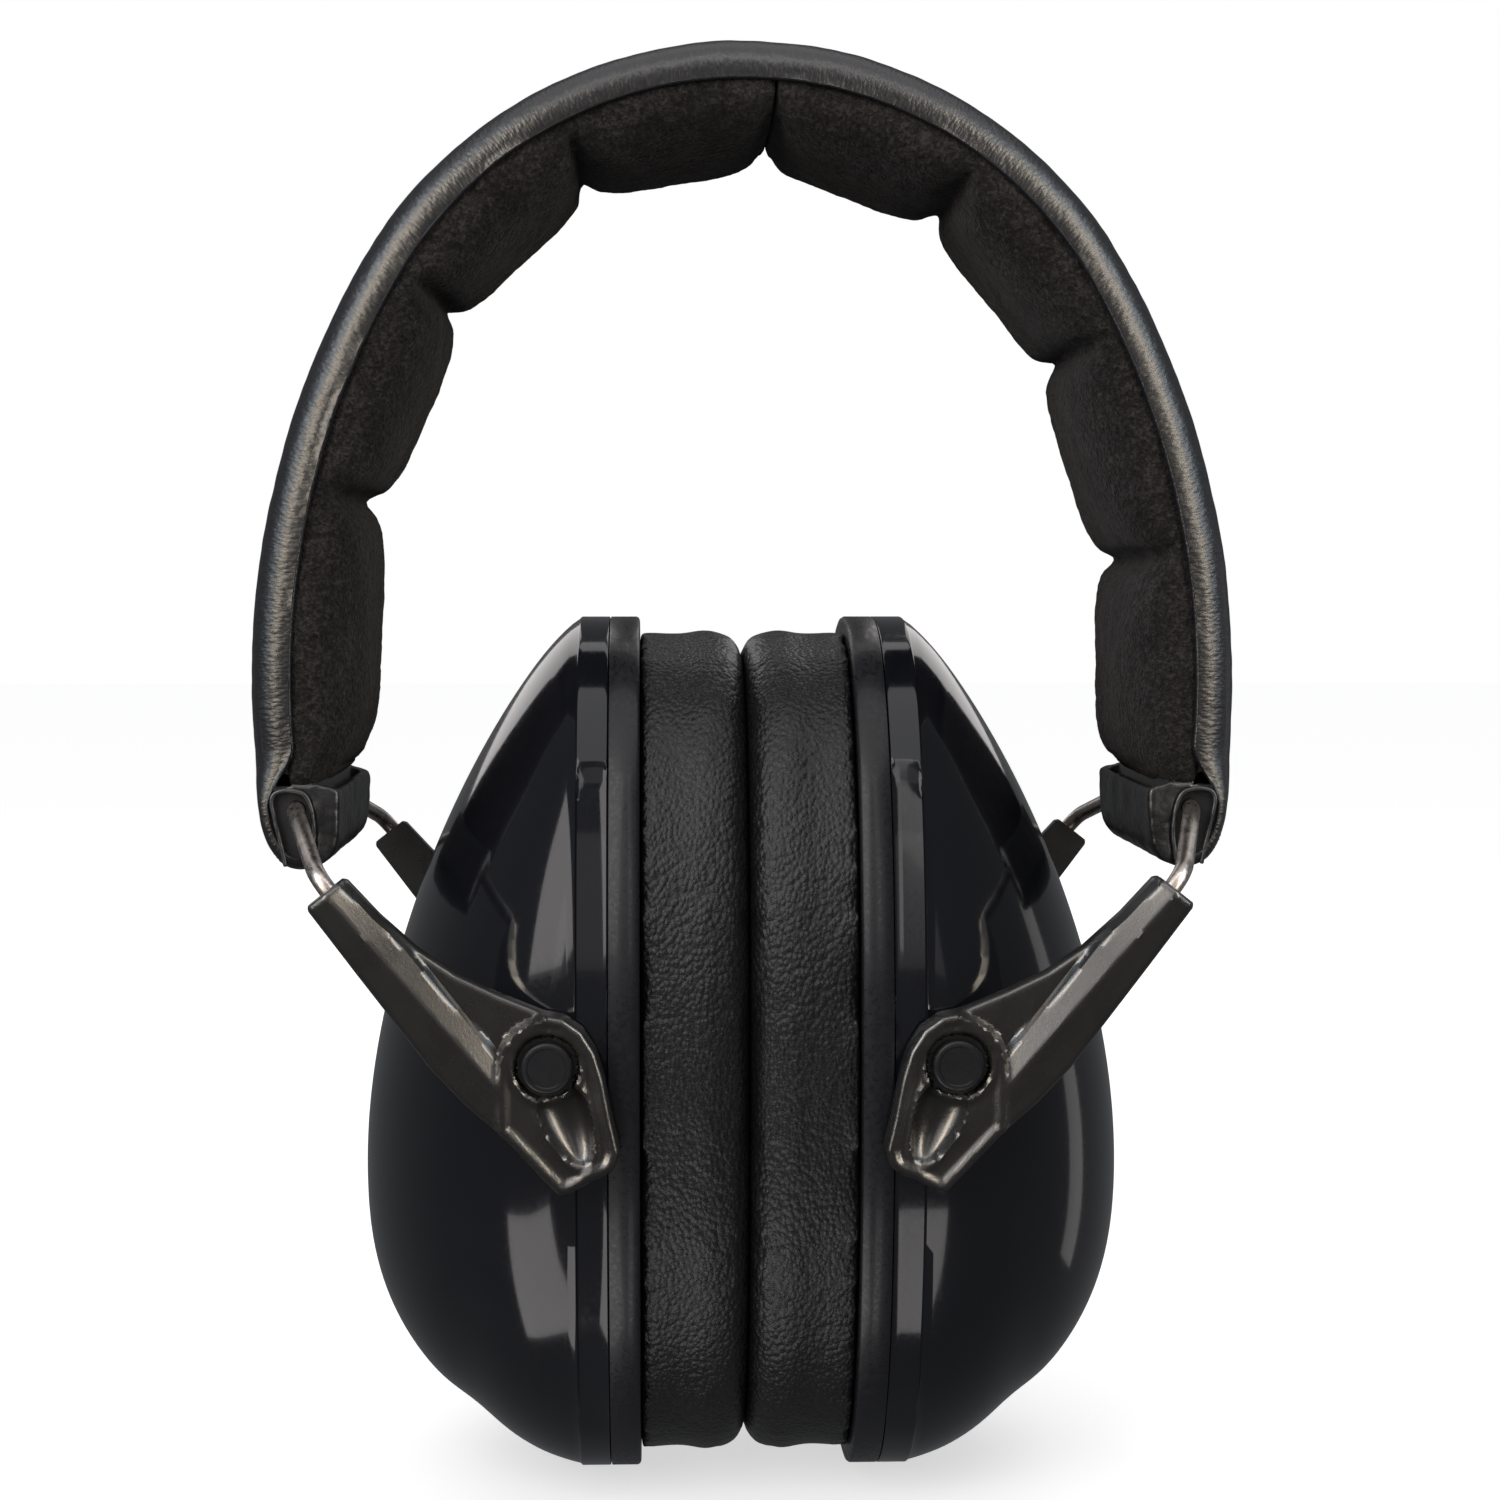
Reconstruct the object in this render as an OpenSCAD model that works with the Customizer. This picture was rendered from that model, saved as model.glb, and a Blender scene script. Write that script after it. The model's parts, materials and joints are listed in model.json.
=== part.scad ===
// Folding earmuff hearing protector for a small head.
// Millimetres, +Z up, +X towards the wearer's one ear, +Y to the back.
// The origin is the underside of the headband pad at the crown, where the head touches it.
// The right half (x > 0) is drawn, and the left half is its mirror image.

/* [Headband] */
// Outer radius of the headband's top arc
band_top_r = 46; // [43:0.5:50]
// Outer half width of the headband at its widest point
band_half_w = 51.5; // [51:0.1:52.5]
// Width of the headband from front to back
band_depth = 34; // [30:1:38]
// Thickness of the padded headband
band_t = 10; // [9:0.1:10.5]
// Thickness of the headband's skins
skin_t = 1.2; // [0.8:0.1:1.4]
// Depth to which the cover wraps round the front and back edges
wrap_depth = 4.6; // [3.5:0.1:5]
// Half angle of the crown section, measured at the top arc's centre
crown_half_angle = 31; // [28:1:34]

/* [Spring band] */
// Width of the spring band
spring_w = 18; // [12:1:22]
// Thickness of the spring band
spring_t = 1.0; // [0.8:0.1:1.2]
// Depth of the spring band's outer face under the cover's outer face
spring_depth = 2.2; // [2:0.1:2.6]

/* [Yoke and arms] */
// Distance of each fold axis from the middle
fold_x = 46.5; // [46:0.1:46.8]
// Depth of each fold axis below the crown pad
fold_drop = 69.5; // [69:0.1:70.5]
// Distance of each cup's pivot axis from the middle
pivot_x = 20; // [19.5:0.1:20.5]
// Depth of each cup's pivot axis below the crown pad
pivot_drop = 93; // [92:0.5:94]
// Diameter of the yoke wire
wire_d = 1.8; // [1.6:0.1:2]
// Slope of the arms' beams, in degrees from the horizontal
beam_slope = 52; // [50:0.5:54]
// Radial running clearance of the pins and the wire
clearance = 0.05; // [0.02:0.01:0.1]
// Half distance between the front and back wire legs
leg_y = 35.4; // [35.2:0.1:35.8]
// Thickness of an arm from front to back
arm_t = 4; // [3.6:0.1:4.2]
// Width of an arm's beam
beam_w = 4.4; // [4:0.1:5]
// Diameter of the pivot pins
pin_d = 3.6; // [3:0.1:4]
// Diameter of the pivot pins' heads
pin_head_d = 5; // [4.6:0.1:5.4]

/* [Cups] */
// Height of a cup
cup_h = 92; // [90:1:93]
// Width of a cup from front to back
cup_w = 66; // [64:0.5:66]
// Distance from the middle to the cup's furthest point
cup_reach = 40.8; // [40:0.1:41.2]
// Distance from the middle to the backing plate's inner face
plate_x = 11; // [10.5:0.1:11.5]
// Thickness of the backing plate
plate_t = 3.2; // [3:0.1:3.4]
// Width of the shell's straight rim
rim_w = 3.3; // [3:0.1:3.6]
// Wall thickness of the cup shell
wall_t = 2.2; // [2:0.1:2.6]
// Height of the ear opening
ear_h = 58; // [54:1:60]
// Width of the ear opening
ear_w = 34; // [30:1:36]
// Inset of the cushion from the backing plate's edge
cushion_inset = 1.5; // [1:0.1:2]

/* [Hidden] */

$fn = 96;
LEFT = -1;
RIGHT = 1;
far = 400;        // longer than anything here, for cutting wedges
section_gap = 0.3; // gap between headband sections, which flex apart
core_gap = 0.05;   // gap between the headband's foam and its skins

// Headband outline, seen from the front: a top arc and a wider arc down each side.
top_z = band_t;                         // outer face at the crown; the pad's underside is at 0
top_c = [0, top_z - band_top_r];
side_drop = 20.6;                       // how far the side arcs' centres lie below the top arc's
// Radius for which the side arc meets the top arc on one tangent
side_r = (pow(band_half_w, 2) + pow(side_drop, 2) - pow(band_top_r, 2)) / (2 * (band_half_w - band_top_r));
side_c = [band_half_w - side_r, top_c[1] - side_drop];
tangent_a = atan2(side_drop, -side_c[0]);
block_a = -2;                           // side-arc angle at which the foam ends and the hinge block starts
lining_end_a = -7.2;                    // side-arc angle at which the lining meets the end pocket
end_t = 7.9;                            // thickness of the band's end, below the lining
end_a = -9.5;                           // side-arc angle at which the end's round begins
pocket_r = 4.1;                         // rounded lower end of the pocket
pocket_c = [46.15, -71.65];             // centre of that round end
block_t = 6.2;                          // depth of the hinge block's inner face, behind the lining
rivet_d = 3;
rivet_head_d = 5;
rivet_head_t = 0.85;
rivet_a = -4.2;                         // side-arc angle of the rivets
rivet_y = 5;
spring_start_a = 87;                    // top-arc angle at which the spring band's curve begins
spring_end_a = -6;
slot_r = 1.3;                           // half width of the wire's slot in the pocket's walls
fold_turn = 80;                         // the yoke's fold travel, in degrees

// Arms: each beam's axis runs beam_off below the pivot, along beam_out towards the arm's outer end
hinge = [fold_x, -fold_drop];
pivot = [pivot_x, -pivot_drop];
beam_out = [cos(beam_slope), sin(beam_slope)];
beam_up = [-sin(beam_slope), cos(beam_slope)];
beam_off = 6.1;
pivot_along = 26.6;                     // the pivot's place along the beam, from the arm's outer end
arm_end = pivot - beam_off * beam_up + pivot_along * beam_out;
leg_end = 20;                           // wire leg's inner end, from the arm's outer end
leg_bend = -1.6;                        // where the leg turns into the beam's line, from the arm's outer end
bore_end = leg_end + 0.6;
slot_run = 5.2;                         // how far the wire's slot runs down the pocket's wall
slot_lean = 0.5;                        // how far inwards it leans over that run
head_r = 4.9;                           // round pivot head
head_recess = 1;                        // depth of the pin head's recess
recess_gap = 0.45;                      // its radial gap round the head
scoop_depth = 0.8;
scoop_turn = 15;
scoop_r = 1.9;                          // half width of the finger scoop
scoop_at = [6.2, -0.6];                 // its inner end from the pin, and its length
scoop_run = 2.4;
cross_half = band_depth / 2;            // half length of the yoke's cross bar
wire_bend = 1.6;                        // how far from a corner the wire begins to bend

// Cup dimensions derived from the driving ones
cup_z = -pivot_drop - 2.7;              // height of the cup's centre
rim_x0 = plate_x + plate_t;
rim_x1 = rim_x0 + rim_w;
apex_dz = -12.3;                        // furthest point's height from the cup's centre
squareness = 2.35;                      // exponent of the cup's oval; 2 would be an ellipse
rounding = 0.3;                         // by how much that exponent falls towards the apex
profile_k = 1.2;                        // exponents of the dome's curves, from its rim to its apex
upper_k = 0.57;
lower_k = 0.365;
plan_k = 1.9;
plan_root = 0.5;
ring_spread = 1.6;                      // how strongly the dome's rings crowd towards the apex
SEGMENTS = 56;
DOME_RINGS = 13;
boss_r = 4.4;                           // boss round each pin, inside the shell
boss_wall = 1.4;                        // the boss's floor, under the pin's inner end
pin_depth = 7;                          // pin's length inside the shell
pin_out = 0.3;                          // how far the boss stands out of the shell
head_sink = 0.8;                        // how far the pin's head sinks into the arm
head_t = 1;                             // thickness of the pin's head
touch_gap = 0.15;                       // half the gap between the two cushions at rest
seat_gap = 0.02;                        // gap between parts that sit on each other
cushion_skin_t = 1;                     // thickness of the cushion's skin
acoustic_x = [2, 12];                   // the acoustic foam's faces, from the shell's rim

// ---------------------------------------------------------------- helpers

// Draws its children on one side of the object
module on_side(side) {
    if (side == LEFT) mirror([1, 0, 0]) children();
    else children();
}

// Turns a front-view outline into a slab of depth y, centred on the middle plane
module slab(depth) {
    rotate([90, 0, 0]) linear_extrude(depth, center = true) children();
}

// Front-view wedge of a ring: centre, radii and angles
module ring_wedge(centre, r_in, r_out, a0, a1) {
    translate(centre) intersection() {
        difference() {
            circle(r_out, $fn = 180);
            circle(r_in, $fn = 180);
        }
        polygon([
            [0, 0],
            far * [cos(a0), sin(a0)],
            far * [cos((a0 + a1) / 2), sin((a0 + a1) / 2)],
            far * [cos(a1), sin(a1)]
        ]);
    }
}

// Points of an arc about a centre, from one angle to another
function arc_points(centre, r, a0, a1, step = 3) =
    let (n = ceil(abs(a1 - a0) / step))
    [for (i = [0 : n]) let (t = a0 + (a1 - a0) * i / n) centre + r * [cos(t), sin(t)]];

// Headband's line at a depth under its outer face: down the top arc from an angle, on down the side arc to another
function band_line(depth, start_a, end_a) = concat(
    arc_points(top_c, band_top_r - depth, start_a, tangent_a + 1),
    arc_points(side_c, side_r - depth, tangent_a, end_a)
);

function backwards(list) = [for (i = [len(list) - 1 : -1 : 0]) list[i]];

// Right side of the headband, between two depths, from the crown section's edge to an angle on the side arc
module side_strip(d0, d1, end_a) {
    gap_a = section_gap / band_top_r * 90 / PI;
    start_a = 90 - crown_half_angle - gap_a;
    polygon(concat(band_line(d0, start_a, end_a), backwards(band_line(d1, start_a, end_a))));
}

// Crown section of the headband, between two depths under its outer face
module crown_strip(d0, d1) {
    gap_a = section_gap / band_top_r * 90 / PI;
    ring_wedge(top_c, band_top_r - d1, band_top_r - d0,
               90 - crown_half_angle + gap_a, 90 + crown_half_angle - gap_a);
}

// Slabs of thickness skin_t on the front and back edges of the headband
module edge_slabs() {
    for (s = [-1, 1])
        translate([0, s * (band_depth - skin_t) / 2, 0]) slab(skin_t) children();
}

// Rounded oval outline: half sizes and the exponent that squares its corners
function oval(a, b, n = squareness) = [
    for (i = [0 : SEGMENTS - 1])
        let (t = 360 * i / SEGMENTS, c = cos(t), s = sin(t))
        [a * sign(c) * pow(abs(c), 2 / n), b * sign(s) * pow(abs(s), 2 / n)]
];

// Oval plate of a cup: half height, half width, and its faces' places along x
module oval_plate(half_h, half_w, x0, x1) {
    translate([x0, 0, cup_z]) rotate([90, 0, 90]) linear_extrude(x1 - x0) polygon(oval(half_w, half_h));
}

// ---------------------------------------------------------------- headband

module cover(side) {
    color("#1b1b1d")
    if (side == 0) {
        slab(band_depth) crown_strip(0, skin_t);
        edge_slabs() crown_strip(skin_t, wrap_depth);
    } else on_side(side) {
        slab(band_depth) side_strip(0, skin_t, lining_end_a);
        edge_slabs() side_strip(skin_t, wrap_depth, lining_end_a);
    }
}

module lining(side) {
    color("#0d0c0c")
    if (side == 0) {
        slab(band_depth) crown_strip(band_t - skin_t, band_t);
        edge_slabs() crown_strip(wrap_depth, band_t - skin_t);
    } else on_side(side) {
        slab(band_depth) side_strip(band_t - skin_t, band_t, lining_end_a);
        edge_slabs() side_strip(wrap_depth, band_t - skin_t, lining_end_a);
    }
}

module band_foam(side) {
    core_depth = band_depth - 2 * (skin_t + core_gap);
    color("#3a3a3c")
    difference() {
        if (side == 0) slab(core_depth) crown_strip(skin_t + core_gap, band_t - skin_t - core_gap);
        else on_side(side) slab(core_depth) difference() {
            side_strip(skin_t + core_gap, band_t - skin_t - core_gap, lining_end_a);
            difference() {
                below(block_a);
                ring_wedge(side_c, side_r - band_t, side_r - block_t - core_gap, lining_end_a - 1, 0);
            }
        }
        spring_room();
    }
}

// The spring band, or the room for it: one strip from end to end, over the crown
module spring_shape(width, d0, d1) {
    outer = band_line(d0, spring_start_a, spring_end_a);
    inner = band_line(d1, spring_start_a, spring_end_a);
    slab(width) polygon(concat(
        backwards(outer), [for (p = outer) [-p[0], p[1]]],
        backwards([for (p = inner) [-p[0], p[1]]]), inner
    ));
}

module spring_room() {
    spring_shape(spring_w + 2 * core_gap, spring_depth - core_gap, spring_depth + spring_t + core_gap);
}

module spring_band() {
    color("#8c8f94")
    difference() {
        spring_shape(spring_w, spring_depth, spring_depth + spring_t);
        for (side = [LEFT, RIGHT]) on_side(side) rivet_shafts(rivet_d / 2 + clearance);
    }
}

// Outline of the headband's lower end: the band runs into a round end
module end_outline(inset) {
    union() {
        intersection() {
            ring_wedge(side_c, side_r - end_t + inset, side_r - inset, end_a, block_a);
            translate([0, -far]) square([far, far]);
        }
        translate(pocket_c) circle(pocket_r - inset);
    }
}

// Everything below a line at an angle on the side arc
module below(angle) {
    translate(side_c) rotate(angle) translate([0, -far]) square([far, far]);
}

// Window in the pocket's front and back walls, in which the wire swings as the yoke folds
module wire_window() {
    hull() {
        translate(hinge) circle(slot_r, $fn = 32);
        for (turn = [0 : fold_turn / 4 : fold_turn])
            translate(hinge) rotate(-turn) translate([-slot_lean, -slot_run]) circle(slot_r, $fn = 32);
    }
}

module end_pocket(side) {
    color("#19191b")
    on_side(side) difference() {
        slab(band_depth) intersection() {
            end_outline(0);
            below(lining_end_a);
        }
        slab(band_depth - 2 * skin_t) end_outline(skin_t);
        slab(band_depth + 1) wire_window();
    }
}

// Front-view outline of the hinge block: it fills the band's end, and is thinner behind the lining
module block_outline(gap) {
    difference() {
        intersection() {
            end_outline(skin_t + gap);
            below(block_a);
        }
        ring_wedge(side_c, side_r - band_t, side_r - block_t + gap, lining_end_a, 0);
    }
}

module hinge_block(side) {
    color("#2a2a2c")
    on_side(side) difference() {
        slab(band_depth - 2 * skin_t - 4 * core_gap) block_outline(core_gap);
        spring_room();
        rivet_shafts(rivet_d / 2 + clearance);
        rivet_heads(core_gap);
        translate([fold_x, 0, -fold_drop]) rotate([90, 0, 0])
            cylinder(h = band_depth, d = wire_d + 2 * clearance, center = true);
    }
}

// Places its children on the rivets' axes, pointing outwards from the side arc's centre
module at_rivets() {
    for (y = [-rivet_y, rivet_y])
        translate([side_c[0], y, side_c[1]]) rotate([0, 90 - rivet_a, 0]) children();
}

module rivet_shafts(r) {
    at_rivets() translate([0, 0, side_r - block_t - 1]) cylinder(h = band_t, r = r);
}

module rivet_heads(grow) {
    at_rivets() {
        translate([0, 0, side_r - spring_depth]) cylinder(h = band_t, d = rivet_head_d + 2 * grow);
        translate([0, 0, side_r - block_t - 1])
            cylinder(h = 1 + rivet_head_t + 2 * core_gap, d = rivet_head_d + 2 * grow);
    }
}

module hinge_rivets(side) {
    shaft_lo = side_r - block_t + core_gap;
    shaft_hi = side_r - skin_t - 2 * core_gap;
    color("#a7a9ad")
    on_side(side) at_rivets() {
        translate([0, 0, shaft_lo]) cylinder(h = shaft_hi - shaft_lo, d = rivet_d);
        for (z = [shaft_lo, shaft_hi - rivet_head_t])
            translate([0, 0, z]) cylinder(h = rivet_head_t, d = rivet_head_d);
    }
}

// ---------------------------------------------------------------- yoke and arms

// Point at a distance along the beam's axis from the arm's outer end
function on_beam(t, y) = let (p = arm_end - t * beam_out) [p[0], y, p[1]];

// Points of a path with each inner corner turned into a smooth bend of the given reach
function bent_path(p, reach, steps = 5) = concat(
    [p[0]],
    [for (i = [1 : len(p) - 2])
        let (
            a = p[i] + reach * (p[i - 1] - p[i]) / norm(p[i - 1] - p[i]),
            b = p[i] + reach * (p[i + 1] - p[i]) / norm(p[i + 1] - p[i])
        )
        each [for (k = [0 : steps]) let (w = k / steps)
            (1 - w) * (1 - w) * a + 2 * w * (1 - w) * p[i] + w * w * b]],
    [p[len(p) - 1]]
);

// Direction of a path at one of its points
function path_dir(p, i) =
    let (v = p[min(i + 1, len(p) - 1)] - p[max(i - 1, 0)]) v / norm(v);

// Round tube swept along a path that never runs straight up or down
module tube(path, r, sides = 12) {
    rings = [for (i = [0 : len(path) - 1])
        let (d = path_dir(path, i), side = cross(d, [0, 0, 1]) / norm(cross(d, [0, 0, 1])), up = cross(side, d))
        each [for (k = [0 : sides - 1])
            let (t = 360 * k / sides) path[i] + r * (cos(t) * side + sin(t) * up)]];
    last = (len(path) - 1) * sides;
    polyhedron(rings, concat(
        [[for (k = [0 : sides - 1]) k]],
        [for (i = [0 : len(path) - 2], k = [0 : sides - 1])
            let (a = i * sides + k, b = i * sides + (k + 1) % sides)
            each [[a, b + sides, b], [a, a + sides, b + sides]]],
        [[for (k = [sides - 1 : -1 : 0]) last + k]]
    ));
}

module yoke_wire(side) {
    half = [
        [fold_x, cross_half, -fold_drop],
        on_beam(leg_bend, leg_y),
        on_beam(leg_end, leg_y)
    ];
    route = concat([for (i = [2 : -1 : 0]) [half[i][0], -half[i][1], half[i][2]]], half);
    color("#b4b6ba")
    on_side(side) tube(bent_path(route, wire_bend), wire_d / 2);
}

// Front-view outline of an arm, drawn with its outer end at the origin and the beam along +x.
// The beam widens through a concave web into the flared pivot head, which ends in a blunt tip.
module arm_outline() {
    h = beam_w / 2;
    p = [pivot_along, beam_off];
    polygon([
        [0, 0.4 - h], [0.4, -h], [p[0] - 6, -h - 0.4], [p[0] + 3, -h + 0.6],
        p + [10.7, -6.6], p + [11.5, -5.6], p + [11.9, -1.5], p + [10.9, 0.5], p + [4.4, 3.7], p,
        p + [-4, 2.9], p + [-8.4, 0.5], p + [-12.4, -1.6], p + [-17, -3.1], [5, h],
        [0.4, h], [0, h - 0.4]
    ]);
    translate(p) circle(head_r);
}

module arm(side, face) {
    color("#222224")
    on_side(side) translate([arm_end[0], face * leg_y, arm_end[1]]) rotate([0, 180 - beam_slope, 0])
    mirror([0, 0, 1])
    difference() {
        slab(arm_t) arm_outline();
        translate([-1, 0, 0]) rotate([0, 90, 0]) cylinder(h = bore_end + 1, d = wire_d + 2 * clearance);
        translate([pivot_along, 0, beam_off]) rotate([90, 0, 0])
            cylinder(h = 2 * arm_t, d = pin_d + 2 * clearance, center = true);
        // recess for the pin's head
        translate([pivot_along, face * arm_t / 2, beam_off]) rotate([90, 0, 0])
            cylinder(h = 2 * head_recess, d = pin_head_d + 2 * recess_gap, center = true);
        // round-ended finger scoop below the pin
        translate([pivot_along, face * arm_t / 2, beam_off]) rotate([0, scoop_turn, 0])
            slab(2 * scoop_depth) {
                hull() for (run = [0, scoop_run]) translate(scoop_at + [run, 0]) circle(scoop_r);
            }
    }
}

// ---------------------------------------------------------------- cups

// One ring of the dome at fraction u of its height, shrunk by a wall thickness
function dome_ring(u, reach, t) =
    let (
        up = (cup_h / 2 - apex_dz - t) * pow(1 - pow(u, profile_k), upper_k),
        down = (cup_h / 2 + apex_dz - t) * pow(1 - pow(u, profile_k), lower_k),
        half_w = (cup_w / 2 - t) * pow(1 - pow(u, plan_k), plan_root),
        mid = apex_dz + (up - down) / 2,
        half_h = (up + down) / 2,
        x = rim_x1 + u * reach
    )
    [for (p = oval(half_w, half_h, squareness - rounding * u)) [x, p[0], cup_z + mid + p[1]]];

// Closed dome solid: a straight rim, dome rings and a tip
module dome(t, x_start) {
    reach = cup_reach - rim_x1 - t;
    us = [for (i = [0 : DOME_RINGS - 1]) 1 - pow(1 - i / DOME_RINGS, ring_spread)];
    base = [for (p = dome_ring(0, reach, t)) [x_start, p[1], p[2]]];
    rings = concat([base], [for (u = us) dome_ring(u, reach, t)]);
    n = SEGMENTS;
    last = len(rings) - 1;
    points = concat([for (r = rings) each r], [[rim_x1 + reach, 0, cup_z + apex_dz]]);
    faces = concat(
        [[for (i = [0 : n - 1]) i]],
        [for (k = [0 : last - 1], i = [0 : n - 1])
            let (a = k * n + i, b = k * n + (i + 1) % n) each [[a, b + n, b], [a, a + n, b + n]]],
        [for (i = [0 : n - 1]) [last * n + i, (last + 1) * n, last * n + (i + 1) % n]]
    );
    polyhedron(points, faces, convexity = 4);
}

// Places its children on the pivot axis, with z outwards, at the front and the back
module at_pins() {
    for (s = [-1, 1]) translate([pivot_x, 0, -pivot_drop]) rotate([s * -90, 0, 0]) children();
}

module cup_shell(side) {
    outer_y = cup_w / 2 + pin_out;
    color("#121214")
    on_side(side) difference() {
        union() {
            difference() {
                dome(0, rim_x0);
                dome(wall_t, rim_x0 - 1);
            }
            at_pins() translate([0, 0, outer_y - pin_depth - boss_wall])
                cylinder(h = pin_depth + boss_wall, r = boss_r);
        }
        at_pins() translate([0, 0, outer_y - pin_depth]) cylinder(h = pin_depth + 1, d = pin_d + clearance);
    }
}

module pivot_pins(side) {
    outer_y = cup_w / 2 + pin_out;
    head_y = leg_y + arm_t / 2 - head_sink;
    color("#141416")
    on_side(side) at_pins() {
        translate([0, 0, outer_y - pin_depth + 0.1]) cylinder(h = head_y - outer_y + pin_depth, d = pin_d);
        translate([0, 0, head_y]) cylinder(h = head_t, d = pin_head_d);
    }
}

module backing_plate(side) {
    color("#17171a")
    on_side(side) difference() {
        oval_plate(cup_h / 2, cup_w / 2, plate_x, rim_x0 - seat_gap);
        oval_plate(ear_h / 2, ear_w / 2, plate_x - 1, rim_x0 + 1);
    }
}

module cushion_ring(grow, x0, x1) {
    difference() {
        oval_plate(cup_h / 2 - cushion_inset + grow, cup_w / 2 - cushion_inset + grow, x0, x1);
        oval_plate(ear_h / 2 + 1 - grow, ear_w / 2 + 1 - grow, x0 - 1, x1 + 1);
    }
}

module cushion_skin(side) {
    color("#1d1d1f")
    on_side(side) difference() {
        cushion_ring(0, touch_gap, plate_x - seat_gap);
        cushion_ring(-cushion_skin_t, touch_gap + cushion_skin_t, plate_x - cushion_skin_t);
    }
}

module cushion_foam(side) {
    color("#77777a")
    on_side(side) cushion_ring(
        -cushion_skin_t - core_gap, touch_gap + cushion_skin_t + core_gap, plate_x - cushion_skin_t - core_gap
    );
}

module acoustic_foam(side) {
    color("#4a4a4d")
    on_side(side) oval_plate(ear_h / 2 - 1, ear_w / 2 - 1, rim_x0 + acoustic_x[0], rim_x0 + acoustic_x[1]);
}

// ---------------------------------------------------------------- assembly

cover(0);  // headband_cover_crown
lining(0);  // headband_lining_crown
band_foam(0);  // headband_foam_crown
spring_band();

cover(LEFT);  // headband_cover_left
lining(LEFT);  // headband_lining_left
band_foam(LEFT);  // headband_foam_left
end_pocket(LEFT);  // end_pocket_left
hinge_block(LEFT);  // hinge_block_left
hinge_rivets(LEFT);  // hinge_rivets_left
yoke_wire(LEFT);  // yoke_wire_left
arm(LEFT, -1);  // front_arm_left
arm(LEFT, 1);  // rear_arm_left
cup_shell(LEFT);  // cup_shell_left
pivot_pins(LEFT);  // pivot_pins_left
backing_plate(LEFT);  // backing_plate_left
cushion_skin(LEFT);  // cushion_skin_left
cushion_foam(LEFT);  // cushion_foam_left
acoustic_foam(LEFT);  // acoustic_foam_left

cover(RIGHT);  // headband_cover_right
lining(RIGHT);  // headband_lining_right
band_foam(RIGHT);  // headband_foam_right
end_pocket(RIGHT);  // end_pocket_right
hinge_block(RIGHT);  // hinge_block_right
hinge_rivets(RIGHT);  // hinge_rivets_right
yoke_wire(RIGHT);  // yoke_wire_right
arm(RIGHT, -1);  // front_arm_right
arm(RIGHT, 1);  // rear_arm_right
cup_shell(RIGHT);  // cup_shell_right
pivot_pins(RIGHT);  // pivot_pins_right
backing_plate(RIGHT);  // backing_plate_right
cushion_skin(RIGHT);  // cushion_skin_right
cushion_foam(RIGHT);  // cushion_foam_right
acoustic_foam(RIGHT);  // acoustic_foam_right
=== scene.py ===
import json
import math

import bmesh
import bpy
from mathutils import Matrix, Vector, noise
from mathutils.geometry import delaunay_2d_cdt, intersect_point_line

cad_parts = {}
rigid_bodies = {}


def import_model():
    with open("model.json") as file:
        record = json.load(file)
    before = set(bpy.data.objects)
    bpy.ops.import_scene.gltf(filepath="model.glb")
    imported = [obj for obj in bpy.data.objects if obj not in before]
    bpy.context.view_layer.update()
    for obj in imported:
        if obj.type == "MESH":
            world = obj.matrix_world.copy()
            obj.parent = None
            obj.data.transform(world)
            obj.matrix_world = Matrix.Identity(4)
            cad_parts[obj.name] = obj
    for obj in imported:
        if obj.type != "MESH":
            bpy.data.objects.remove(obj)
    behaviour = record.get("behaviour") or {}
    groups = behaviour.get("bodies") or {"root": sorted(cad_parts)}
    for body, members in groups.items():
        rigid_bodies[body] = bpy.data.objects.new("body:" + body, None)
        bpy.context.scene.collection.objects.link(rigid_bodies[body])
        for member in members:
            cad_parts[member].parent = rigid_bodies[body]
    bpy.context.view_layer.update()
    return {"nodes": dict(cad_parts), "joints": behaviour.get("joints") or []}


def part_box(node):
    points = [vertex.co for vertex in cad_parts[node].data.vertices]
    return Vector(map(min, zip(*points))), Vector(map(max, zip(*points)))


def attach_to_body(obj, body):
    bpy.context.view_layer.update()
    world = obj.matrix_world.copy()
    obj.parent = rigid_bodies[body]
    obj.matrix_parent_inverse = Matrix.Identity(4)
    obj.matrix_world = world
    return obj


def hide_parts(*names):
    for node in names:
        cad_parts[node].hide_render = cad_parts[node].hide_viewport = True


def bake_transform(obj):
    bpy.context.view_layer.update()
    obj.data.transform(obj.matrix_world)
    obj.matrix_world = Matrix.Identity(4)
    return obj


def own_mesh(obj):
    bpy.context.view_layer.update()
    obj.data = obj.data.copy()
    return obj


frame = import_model()

MM = 0.001
SIDES = {"left": -1, "right": 1}
FACES = {"front": -1, "rear": 1}


# ------------------------------------------------------------------ camera

CAMERA_PLACE = (-0.010, -0.313, -0.0464)
CAMERA_TARGET = (0.001, 0, -0.0643)
LENS = 68.8


def add_object(name, data):
    made = bpy.data.objects.new(name, data)
    bpy.context.scene.collection.objects.link(made)
    return made


def aim(thing, target):
    """Turns a camera or lamp so that it looks at a point."""
    direction = Vector(target) - thing.location
    thing.rotation_euler = direction.to_track_quat("-Z", "Y").to_euler()


def add_camera():
    data = bpy.data.cameras.new("camera")
    data.lens = LENS
    data.sensor_width = 36
    data.clip_start = 0.01
    camera = add_object("camera", data)
    camera.location = CAMERA_PLACE
    aim(camera, CAMERA_TARGET)
    bpy.context.scene.camera = camera


add_camera()


# ------------------------------------------------------------------ sizes, from the frame (mm)

def node_box(name):
    low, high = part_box(name)
    return low / MM, high / MM


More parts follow.
